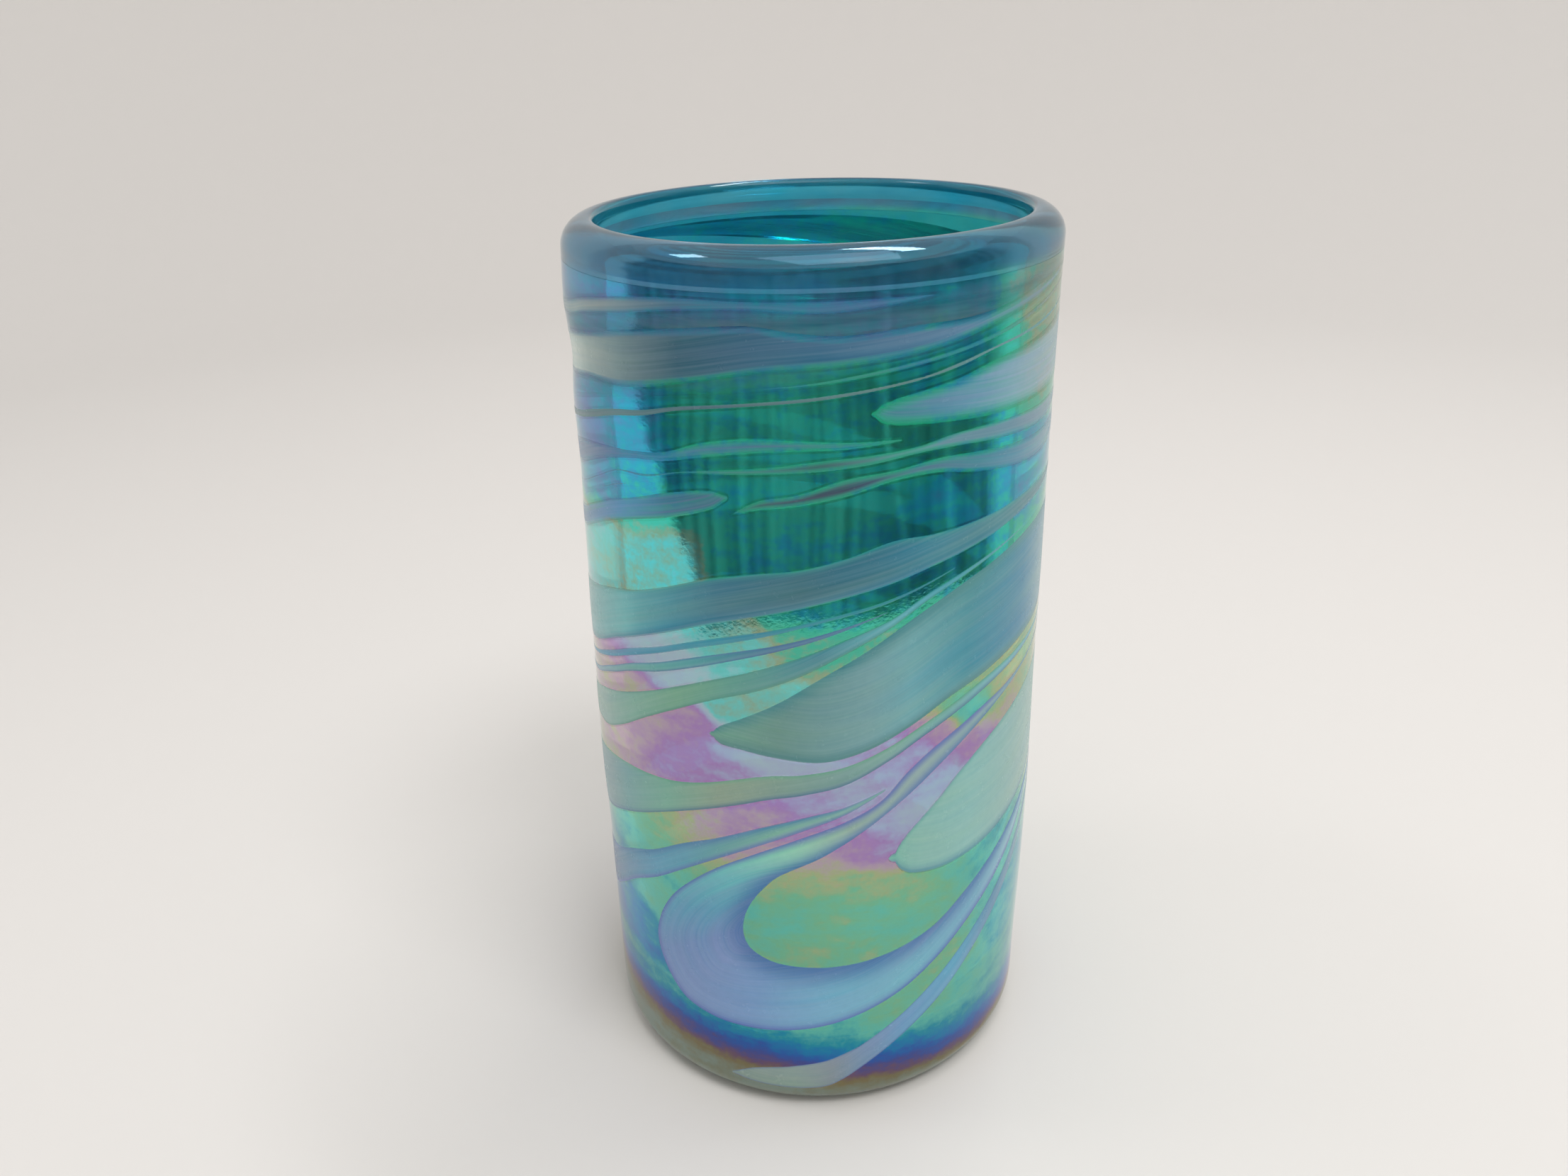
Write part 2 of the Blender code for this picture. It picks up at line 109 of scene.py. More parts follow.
def unevenness(angle, height):
    """How far the handmade wall stands out from the true cylinder, in millimetres."""
    turn = np.radians(angle)
    total = np.zeros(np.broadcast(angle, height).shape)
    for count, rise, shift, depth in WAVES:
        total = total + depth * np.sin(count * turn + 2 * math.pi * height / rise + math.radians(shift))
    for centre, level, depth, reach_round, reach_up in DENTS:
        away = (np.asarray(angle) - centre + 180.0) % 360.0 - 180.0
        along = np.radians(away) * WALL_RADII[1] / reach_round
        total = total - depth * np.exp(-along ** 2 - ((height - level) / reach_up) ** 2)
    return total


def placed(angle, radius, height):
    """Points in metres. The unevenness fades towards the axis and towards the table."""
    angle, radius, height = np.broadcast_arrays(angle, radius, height)
    share = np.clip(height / 12.0, 0.0, 1.0) * radius / WALL_RADII[1]
    radius = radius + unevenness(angle, height) * share
    turn = np.radians(angle)
    east = radius * np.sin(turn) + LEAN * height
    return np.stack([east, -radius * np.cos(turn), height + 0.0], -1) * MM


def arc(centre_r, centre_z, radius, start, end, steps):
    turns = np.radians(np.linspace(start, end, steps + 1))
    return list(zip(centre_r + radius * np.cos(turns), centre_z + radius * np.sin(turns)))


def piece_from(name, places, faces, materials, slots=None):
    """A smooth-shaded object from points and faces. slots gives each face's material."""
    mesh = bpy.data.meshes.new(name)
    mesh.from_pydata(places.tolist(), [], faces)
    for made in materials:
        mesh.materials.append(made)
    if slots is not None:
        mesh.polygons.foreach_set("material_index", slots)
    mesh.shade_smooth()
    mesh.set_sharp_from_angle(angle=math.radians(40))
    made = bpy.data.objects.new(name, mesh)
    bpy.context.scene.collection.objects.link(made)
    return made


def keep(name, mesh, kind, values):
    """Stores a value for each point: a number, a vector or a colour."""
    key = {"FLOAT": "value", "FLOAT_VECTOR": "vector", "FLOAT_COLOR": "color"}[kind]
    layer = mesh.attributes.new(name, kind, "POINT")
    layer.data.foreach_set(key, np.asarray(values, np.float32).ravel())


def turned(name, profile, materials, slot_of=None):
    """A solid turned about the axis from a closed profile of (radius, height). Points on the axis are
    single. slot_of gives the material slot of a row of faces from the middle of its profile edge."""
    angles = np.arange(AROUND) * 360.0 / AROUND
    places, rings = [], []
    count = 0
    for radius, height in profile:
        if radius == 0.0:
            places.append(placed(0.0, 0.0, height).reshape(1, 3))
            rings.append([count] * AROUND)
            count += 1
        else:
            places.append(placed(angles, radius, height))
            rings.append(list(range(count, count + AROUND)))
            count += AROUND
    faces, slots = [], []
    for index, (first, second) in enumerate(zip(rings, rings[1:] + rings[:1])):
        start, end = profile[index], profile[(index + 1) % len(profile)]
        slot = slot_of((start[0] + end[0]) / 2, (start[1] + end[1]) / 2) if slot_of else 0
        for step in range(AROUND):
            after = (step + 1) % AROUND
            corners = list(dict.fromkeys((first[step], first[after], second[after], second[step])))
            if len(corners) > 2:
                faces.append(corners)
                slots.append(slot)
    return piece_from(name, np.concatenate(places), faces, materials, slots)


# Colour

def linear(red, green, blue):
    """A colour given in 0-255 display values, in the linear values that shaders take."""
    found = []
    for value in (red, green, blue):
        share = value / 255.0
        found.append(share / 12.92 if share <= 0.04045 else ((share + 0.055) / 1.055) ** 2.4)
    return tuple(found)


# The film of the fuming: its colour runs through this series as it gets thicker. Thickness is in steps of
# the series, from the bare grey at the foot to the lavender lustre of the lip.
FILM_SERIES = (
    (0.0, (170, 188, 172)), (1.0, (165, 148, 98)), (1.7, (142, 104, 138)), (2.4, (84, 98, 192)),
    (3.0, (40, 118, 222)), (3.6, (0, 162, 228)), (4.0, (25, 188, 215)), (4.8, (122, 240, 220)),
    (5.6, (148, 234, 186)), (6.3, (210, 224, 166)), (6.9, (226, 200, 218)), (7.6, (206, 158, 232)),
    (8.4, (204, 216, 255)), (9.2, (208, 238, 252)), (10.0, (128, 250, 245)), (10.8, (188, 212, 172)),
    (11.3, (96, 230, 196)), (11.9, (78, 238, 200)), (12.4, (55, 205, 235)), (13.2, (125, 168, 230)),
)

# Film at the foot: thickness against height. The bands tilt, so they lie lower at the right.
FOOT_HEIGHTS = (0.0, 4.4, 7.1, 8.7, 10.4, 12.2, 14.2, 16.2, 19.0)
FOOT_FILM = (0.0, 0.2, 1.0, 1.7, 2.4, 3.0, 3.6, 4.0, 4.7)
FOOT_TILT_ANGLES = (-180, -90, -50, -20, 30, 60, 90, 180)
FOOT_TILTS = (0.0, -3.8, -3.8, -2.1, 2.9, 3.2, 2.5, 0.0)
FOOT_BLEND = (16.5, 22.0)

# Film above the foot: (angle, height, thickness)
FILM_POINTS = (
    (-75, 26, 3.3), (-60, 24, 3.35), (-57, 31, 3.8), (-44, 39, 5.1), (-65, 42, 4.1), (-52, 46, 4.8),
    (-13, 41, 5.1), (-8, 35, 5.6), (3, 44, 5.5), (0, 36, 5.7), (12, 42, 5.2), (22, 46, 5.6),
    (34, 49, 5.2), (40, 46, 4.7), (52, 48, 4.5), (28, 52, 5.9), (12, 50, 6.0), (-2, 51, 6.2),
    (2, 55, 6.9), (10, 57.5, 7.5), (18, 57, 7.6), (20, 61, 8.3), (26, 64, 8.7), (32, 67, 8.4), (36, 69.5, 7.4),
    (8, 17.5, 4.8), (20, 21.5, 5.4), (32, 27, 5.6), (40, 21, 4.9), (50, 17, 4.5), (56, 27, 4.3), (64, 35, 4.1),
    (-62, 51, 4.6), (-43, 54, 5.4), (-35, 57, 6.1), (-28, 60, 6.6), (-15, 63, 7.2), (-4, 66, 8.0),
    (8, 69, 8.4), (18, 72, 8.2), (25, 74.5, 7.2), (34, 76.5, 4.6), (47, 79, 6.3), (60, 82, 5.9),
    (-65, 70, 6.8), (-52, 70, 6.9), (-44, 76, 7.0), (-30, 72, 7.6), (-26, 68, 7.7), (-20, 69.5, 8.0),
    (-12, 73.5, 8.9), (-30, 79, 7.2), (-22, 82, 10.3), (-12, 85.5, 10.2), (0, 92, 11.3),
    (-70, 76, 6.7), (-50, 80, 6.7), (-35, 86, 9.1), (-20, 92.5, 10.1), (0, 97, 12.1), (20, 103, 12.2),
    (-72, 104, 9.9), (-60, 105, 9.9), (-50, 101, 10.4), (-38, 106, 10.2), (-15, 105, 12.15), (10, 109, 12.2),
    (30, 113, 12.25), (47, 113.5, 12.4), (62, 116, 12.5),
    (-70, 111, 12.6), (-58, 113.5, 12.8), (-60, 121, 13.2), (-45, 125, 12.6), (-40, 118, 12.4),
    (-20, 127, 11.9), (0, 128, 11.9), (15, 126, 11.9), (0, 132, 11.9), (25, 133, 12.2), (-10, 121, 11.9),
    (10, 117.5, 11.9), (-60, 134, 12.8), (10, 141, 12.9), (32, 143, 12.6), (50, 144, 10.8),
    (-70, 142, 12.8), (-30, 141, 12.9), (62, 130, 11.0), (62, 140, 10.8),
    (90, 30, 4.4), (100, 48, 5.9), (112, 72, 7.6), (132, 24, 4.9), (142, 84, 9.0), (152, 60, 6.6),
    (162, 38, 5.4), (180, 22, 4.4), (184, 68, 7.8), (190, 90, 9.6), (205, 55, 6.2), (212, 104, 10.6),
    (224, 34, 5.0), (232, 98, 10.8), (242, 120, 12.8), (252, 80, 7.2), (260, 60, 5.6), (262, 30, 4.0),
    (132, 102, 10.2), (122, 117, 11.9), (152, 128, 11.9), (182, 116, 11.4), (200, 138, 12.4),
    (92, 128, 12.6), (84, 142, 11.4), (100, 96, 9.6), (230, 136, 12.8), (268, 104, 10.4),
)
LIP_COLOUR = (34, 168, 208)
LIP_HAZE = (152, 164, 182)
SMOKE_DARK = (42, 86, 106)
SMOKE_PALE = (112, 142, 152)
LIP_BLEND = (143.4, 146.0)
FILM_DRIFT = 3.0


def drift(places, scale):
    """A slow three-way noise for each point, so that borders wander."""
    found = [noise.noise_vector(Vector(place) * scale) for place in places.tolist()]
    return np.array(found)


# Smoke: a thin opal haze under the lip: (angle, middle height, reach up and down)
SMOKE_BAND = ((-90, 132.0, 8.0), (-60, 134.0, 8.0), (-30, 136.5, 7.0), (0, 138.0, 6.0), (30, 140.0, 4.5),
              (50, 141.5, 3.0), (75, 143.0, 1.5))
SMOKE_START = (-115, -85)
SMOKE_END = (65, 90)
SMOKE = 0.75


def blend(value, low, high):
    share = np.clip((value - low) / (high - low), 0.0, 1.0)
    return share * share * (3.0 - 2.0 * share)


def film_thickness(places):
    """Thickness of the film, in steps of FILM_SERIES, at points in metres."""
    wander = drift(places, 55.0) * FILM_DRIFT
    height = places[:, 2] / MM + wander[:, 2]
    angle = np.degrees(np.arctan2(places[:, 0] - LEAN * places[:, 2], -places[:, 1]))
    angle = angle + np.degrees(wander[:, 0] * 1.6 / WALL_RADII[1])
    weights = np.zeros(len(places))
    total = np.zeros(len(places))
    for centre, level, thickness in FILM_POINTS:
        away = np.radians((angle - centre + 180.0) % 360.0 - 180.0) * WALL_RADII[1]
        weight = 1.0 / ((away * 0.8) ** 2 + ((height - level) * 1.4) ** 2 + 4.0) ** 2
        weights += weight
        total += weight * thickness
    above = total / weights
    tilted = places[:, 2] / MM + wander[:, 2] * 0.15
    tilted = tilted + np.interp(angle, FOOT_TILT_ANGLES, FOOT_TILTS) * blend(height, 2.0, 9.0)
    foot = np.interp(tilted, FOOT_HEIGHTS, FOOT_FILM)
    return foot + (above - foot) * blend(tilted, *FOOT_BLEND)


def smoke_amount(places):
    """How thick the smoke is at points in metres, from 0 to SMOKE."""
    angle = np.degrees(np.arctan2(places[:, 0] - LEAN * places[:, 2], -places[:, 1]))
    angles, middles, reaches = zip(*SMOKE_BAND)
    away = np.abs(places[:, 2] / MM - np.interp(angle, angles, middles)) / np.interp(angle, angles, reaches)
    ends = blend(angle, *SMOKE_START) * (1.0 - blend(angle, *SMOKE_END))
    return SMOKE * (1.0 - blend(away, 0.4, 1.1)) * ends


# Materials

FILM_SHINE = 0.5
LIP_SHINE = 0.22
EDGE_SHINE = 0.08
MILK_SHINE = 0.0
STREAKS = 0.16
CLARITY = 0.95


def node(tree, kind, **values):
    made = tree.nodes.new(kind)
    for name, value in values.items():
        if hasattr(made, name):
            setattr(made, name, value)
        else:
            made.inputs[name.replace("_", " ")].default_value = value
    return made


def link(tree, source, target):
    tree.links.new(source, target)


def noise_at(tree, scale, detail, vector=None, roughness=0.55):
    made = node(tree, "ShaderNodeTexNoise", Scale=scale, Detail=detail, Roughness=roughness)
    if vector is None:
        vector = node(tree, "ShaderNodeTexCoord").outputs["Object"]
    link(tree, vector, made.inputs["Vector"])
    return made.outputs["Fac"]


def stretched(tree, vector, scale):
    made = node(tree, "ShaderNodeMapping", Scale=scale)
    link(tree, vector, made.inputs["Vector"])
    return made.outputs["Vector"]


def scaled(tree, value, low, high):
    """A noise value, mostly between 0.3 and 0.7, mapped to low..high."""
    made = node(tree, "ShaderNodeMapRange")
    for name, number in (("From Min", 0.3), ("From Max", 0.7), ("To Min", low), ("To Max", high)):
        made.inputs[name].default_value = number
    link(tree, value, made.inputs["Value"])
    return made.outputs["Result"]


def ranged(tree, value, low, high):
    """A value from 0 to 1 mapped to low..high."""
    made = node(tree, "ShaderNodeMapRange")
    made.inputs["To Min"].default_value = low
    made.inputs["To Max"].default_value = high
    link(tree, value, made.inputs["Value"])
    return made.outputs["Result"]


def plus(tree, first, second, operation="ADD"):
    made = node(tree, "ShaderNodeMath", operation=operation)
    link(tree, first, made.inputs[0])
    link(tree, second, made.inputs[1])
    return made.outputs["Value"]


def mixed(tree, share, first, second, kind="MIX"):
    """Mixes two colours, each a socket or a tuple. share is a number or a socket."""
    made = node(tree, "ShaderNodeMix", data_type="RGBA", blend_type=kind)
    for socket, value in ((made.inputs["Factor"], share), (made.inputs[6], first), (made.inputs[7], second)):
        if isinstance(value, bpy.types.NodeSocket):
            link(tree, value, socket)
        elif isinstance(value, tuple):
            socket.default_value = (*value, 1.0)
        else:
            socket.default_value = value
    return made.outputs[2]


def bumped(tree, shader, height, distance, strength=1.0):
    made = node(tree, "ShaderNodeBump", Strength=strength, Distance=distance)
    link(tree, height, made.inputs["Height"])
    link(tree, made.outputs["Normal"], shader.inputs["Normal"])


def new_material(name, **values):
    """A material whose Principled shader holds the plain values."""
    made = bpy.data.materials.new(name)
    made.use_nodes = True
    tree = made.node_tree
    shader = tree.nodes["Principled BSDF"]
    for key, value in values.items():
        shader.inputs[key.replace("_", " ")].default_value = value
    return made, tree, shader


def film_colour(tree):
    """The film's colour from its thickness, broken up by drips, mottles and specks."""
    thickness = node(tree, "ShaderNodeAttribute", attribute_name="film").outputs["Fac"]
    object_space = node(tree, "ShaderNodeTexCoord").outputs["Object"]
    streaks = noise_at(tree, 150.0, 3.0, stretched(tree, object_space, (1.0, 1.0, 3.2)))
    mottles = noise_at(tree, 420.0, 4.0)
    specks = noise_at(tree, 1500.0, 2.0)
    for value, reach in ((streaks, 0.30), (mottles, 0.22), (specks, 0.14)):
        thickness = plus(tree, thickness, scaled(tree, value, -reach, reach))
    top = FILM_SERIES[-1][0]
    share = node(tree, "ShaderNodeMath", operation="DIVIDE")
    share.inputs[1].default_value = top
    link(tree, thickness, share.inputs[0])
    ramp = node(tree, "ShaderNodeValToRGB")
    stops = ramp.color_ramp.elements
    while len(stops) < len(FILM_SERIES):
        stops.new(0.5)
    for stop, (step, colour) in zip(stops, FILM_SERIES):
        stop.position = step / top
        stop.color = (*linear(*colour), 1.0)
    link(tree, share.outputs["Value"], ramp.inputs["Fac"])
    return ramp.outputs["Color"], mottles, specks


def make_film_glass(name, shine):
    """Outside of the vase: teal glass under the iridescent film."""
    made, tree, shader = new_material(name, IOR=1.52, Metallic=shine, Transmission_Weight=CLARITY)
    colour, mottles, specks = film_colour(tree)
    smoke = node(tree, "ShaderNodeAttribute", attribute_name="smoke").outputs["Fac"]
    object_space = node(tree, "ShaderNodeTexCoord").outputs["Object"]
    wisps = noise_at(tree, 28.0, 3.0, stretched(tree, object_space, (1.0, 1.0, 9.0)))
    smoke = plus(tree, smoke, scaled(tree, wisps, 0.35, 1.3), "MULTIPLY")
    drawn = noise_at(tree, 50.0, 3.0, stretched(tree, object_space, (1.0, 1.0, 12.0)))
    smoke_tone = mixed(tree, scaled(tree, drawn, 0.0, 1.0), linear(*SMOKE_DARK), linear(*SMOKE_PALE))
    colour = mixed(tree, smoke, colour, smoke_tone)
    link(tree, ranged(tree, smoke, CLARITY, 0.2), shader.inputs["Transmission Weight"])
    link(tree, ranged(tree, smoke, shine, 0.2), shader.inputs["Metallic"])
    lustre = node(tree, "ShaderNodeAttribute", attribute_name="lustre").outputs["Fac"]
    lip_share = scaled(tree, noise_at(tree, 60.0, 2.0), 0.0, 0.7)
    lip_tone = mixed(tree, lip_share, linear(*LIP_COLOUR), linear(*LIP_HAZE))
    link(tree, mixed(tree, lustre, colour, lip_tone), shader.inputs["Base Color"])
    link(tree, scaled(tree, mottles, 0.04, 0.08), shader.inputs["Roughness"])
    bumped(tree, shader, plus(tree, noise_at(tree, 220.0, 2.0), specks), 0.00002, 0.3)
    return made


def make_clear_glass():
    """Inside of the vase: clear teal glass with faint cords."""
    made, tree, shader = new_material("clear_teal", IOR=1.52, Transmission_Weight=0.82)
    object_space = node(tree, "ShaderNodeTexCoord").outputs["Object"]
    cords = noise_at(tree, 60.0, 3.0, stretched(tree, object_space, (1.0, 1.0, 4.0)))
    deep, pale = linear(38, 184, 218), linear(78, 222, 240)
    link(tree, mixed(tree, scaled(tree, cords, 0.0, 1.0), deep, pale), shader.inputs["Base Color"])
    link(tree, scaled(tree, noise_at(tree, 300.0, 2.0), 0.03, 0.07), shader.inputs["Roughness"])
    bumped(tree, shader, cords, 0.0001, 0.3)
    return made


def make_ground_glass():
    """The punty scar: ground and half polished."""
    made, tree, shader = new_material("ground_glass", IOR=1.52, Transmission_Weight=0.5)
    grinding = noise_at(tree, 1800.0, 3.0)
    tone = mixed(tree, scaled(tree, grinding, 0.0, 1.0), linear(90, 150, 158), linear(150, 190, 192))
    link(tree, tone, shader.inputs["Base Color"])
    link(tree, scaled(tree, grinding, 0.3, 0.55), shader.inputs["Roughness"])
    bumped(tree, shader, grinding, 0.00005, 0.6)
    return made


def make_opal(name, tint):
    """Opal glass of the trails under the same film. Its painted colour is drawn out into fine streaks along
    the trail. veil says how milky it is at each point: where it is 0, the film over clear glass shows."""
    made, tree, shader = new_material(name, IOR=1.52, Metallic=FILM_SHINE)
    film, mottles, _ = film_colour(tree)
    paint = node(tree, "ShaderNodeAttribute", attribute_name="opal").outputs["Color"]
    flow = node(tree, "ShaderNodeAttribute", attribute_name="flow").outputs["Vector"]
    veil = node(tree, "ShaderNodeAttribute", attribute_name="veil").outputs["Fac"]
    strands = noise_at(tree, 1.0, 2.0, stretched(tree, flow, (0.022, 0.8, 1.0)))
    threads = noise_at(tree, 1.0, 1.0, stretched(tree, flow, (0.035, 2.2, 1.0)))
    clouds = noise_at(tree, 1.0, 2.0, stretched(tree, flow, (0.03, 0.2, 1.0)))
    grain = noise_at(tree, 900.0, 1.0)
    veil = plus(tree, veil, scaled(tree, strands, -STREAKS, STREAKS))
    veil = plus(tree, veil, scaled(tree, threads, -STREAKS * 0.5, STREAKS * 0.5))
    darker = mixed(tree, 1.0, paint, (0.58, 0.78, 0.84), "MULTIPLY")
    colour = mixed(tree, scaled(tree, strands, 0.0, 0.5), paint, darker)
    colour = mixed(tree, scaled(tree, threads, 0.0, 0.10), colour, linear(185, 205, 218))
    colour = mixed(tree, scaled(tree, clouds, 0.0, 0.22), colour, tint)
    colour = mixed(tree, scaled(tree, grain, 0.0, 0.06), colour, linear(50, 110, 130))
    link(tree, mixed(tree, veil, film, colour), shader.inputs["Base Color"])
    link(tree, ranged(tree, veil, CLARITY, 0.0), shader.inputs["Transmission Weight"])
    link(tree, ranged(tree, veil, EDGE_SHINE, MILK_SHINE), shader.inputs["Metallic"])
    satin = plus(tree, ranged(tree, veil, 0.07, 0.26), scaled(tree, mottles, -0.02, 0.02))
    link(tree, satin, shader.inputs["Roughness"])
    bumped(tree, shader, strands, 0.00004, 0.3)
    return made


film_glass = make_film_glass("film_glass", FILM_SHINE)
lip_glass = make_film_glass("lip_glass", LIP_SHINE)
clear_glass = make_clear_glass()
ground_glass = make_ground_glass()
OPALS = {
    "opal_lavender": make_opal("opal_lavender", linear(150, 140, 200)),
    "opal_sea": make_opal("opal_sea", linear(150, 185, 140)),
    "opal_slate": make_opal("opal_slate", linear(120, 115, 160)),
    "opal_teal": make_opal("opal_teal", linear(60, 150, 185)),
}


# Blown masses

def base_seat(radius):
    """Height of the dome where the base gather meets the core."""
    seam_radius = float(outside_radius(BASE_SEAM_Z))
    return BASE_CROWN_Z + (BASE_SEAM_Z - BASE_CROWN_Z) * (radius / seam_radius) ** 2


def wall_rows(low, high):
    """Heights up the wall from low to high, closer together on the heel."""
    heel = [height for height in np.arange(low, HEEL_RADIUS, 0.35)]
    count = int(round((high - HEEL_RADIUS) / WALL_STEP))
    return heel + list(np.linspace(HEEL_RADIUS, high, count + 1))


def finish_blown(piece, name):
    places = np.empty(len(piece.data.vertices) * 3, np.float32)
    piece.data.vertices.foreach_get("co", places)
    places = places.reshape(-1, 3).astype(float)
    keep("film", piece.data, "FLOAT", film_thickness(places))
    keep("lustre", piece.data, "FLOAT", blend(places[:, 2] / MM, *LIP_BLEND))
    keep("smoke", piece.data, "FLOAT", smoke_amount(places))
    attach(piece, BODY)
    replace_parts(piece, name)


def make_core():
    """The blown bubble: film outside, clear teal inside and underneath."""
    low = BASE_SEAM_Z + SEAM
    outer = wall_rows(low, LIP_SEAM_Z - SEAM)
    inner = np.linspace(LIP_SEAM_Z - SEAM, FLOOR_Z + CORNER_RADIUS, 46)
    inside = float(outside_radius(inner[-1])) - WALL
    profile = [(float(outside_radius(height)), float(height)) for height in outer]
    profile += [(float(outside_radius(height)) - WALL, float(height)) for height in inner]
    profile += arc(inside - CORNER_RADIUS, FLOOR_Z + CORNER_RADIUS, CORNER_RADIUS, 0, -90, 14)[1:]
    profile += [(radius, FLOOR_Z + 0.5 * (1.0 - radius / 25.0) ** 2) for radius in (20.0, 14.0, 7.0)]
    profile += [(0.0, FLOOR_Z + 0.5)]
    profile += [(radius, base_seat(radius) + SEAM) for radius in (0.0, 10.0, 20.0, 30.0)]
    last = len(outer) - 1

    def slot_of(radius, height):
        return 0 if radius > float(outside_radius(height)) - 0.5 * WALL and low < height < outer[last] else 1

    core = turned("blown_wall", profile, [film_glass, clear_glass], slot_of)
    finish_blown(core, "core_gather")


def make_base():
    """The second gather: heel, ring to stand on, kick-up and the socket of the punty scar."""
    stand_outer = WALL_RADII[0] - HEEL_RADIUS
    profile = [(0.0, SCAR_SOCKET_TOP), (SCAR_SOCKET_RADIUS, SCAR_SOCKET_TOP), (SCAR_SOCKET_RADIUS, KICK_UP)]
    for radius in np.linspace(SCAR_SOCKET_RADIUS + 1.0, STAND_INNER_RADIUS, 12):
        share = (radius - SCAR_SOCKET_RADIUS) / (STAND_INNER_RADIUS - SCAR_SOCKET_RADIUS)
        profile.append((float(radius), KICK_UP * (1.0 - share ** 2)))
    profile += [(31.7, 0.0), (stand_outer - 0.6, 0.0)]
    profile += [(float(outside_radius(height)), float(height)) for height in
                HEEL_RADIUS * (1.0 - np.cos(np.radians(np.linspace(4, 66, 12))))]
    profile.append((float(outside_radius(BASE_SEAM_Z)), BASE_SEAM_Z))
    profile += [(radius, base_seat(radius)) for radius in (30.0, 20.0, 10.0, 0.0)]
    base = turned("base", profile, [film_glass, clear_glass],
                  lambda radius, height: 0 if radius > float(outside_radius(height)) - 0.6 else 1)
    finish_blown(base, "base_gather")


def make_lip():
    """The fire-polished lip: a wide round outside and a tighter one inside."""
    outside = float(outside_radius(HEIGHT))
    inside = float(outside_radius(LIP_SEAM_Z)) - WALL
    swollen = inside - LIP_SWELL
    profile = [(float(outside_radius(height)), height) for height in
               (LIP_SEAM_Z + SEAM, 145.0, 145.5)]
    profile += arc(outside - LIP_RADIUS, HEIGHT - LIP_RADIUS, LIP_RADIUS, 0, 88, 22)
    profile += arc(swollen + LIP_INNER_RADIUS, HEIGHT - LIP_INNER_RADIUS, LIP_INNER_RADIUS, 94, 180, 9)
    profile += [(inside - LIP_SWELL * share, height) for share, height in
                ((0.96, 148.4), (0.8, 147.5), (0.5, 146.5), (0.2, 145.5), (0.0, LIP_SEAM_Z + SEAM))]
    lip = turned("lip", profile, [lip_glass, clear_glass],
                 lambda radius, height: 0 if radius > swollen + 0.5 and height > LIP_SEAM_Z + 2 * SEAM else 1)
    finish_blown(lip, "lip_bead")


make_core()
make_base()
make_lip()
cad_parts["punty_scar"].data.materials.clear()
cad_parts["punty_scar"].data.materials.append(ground_glass)


# Trails

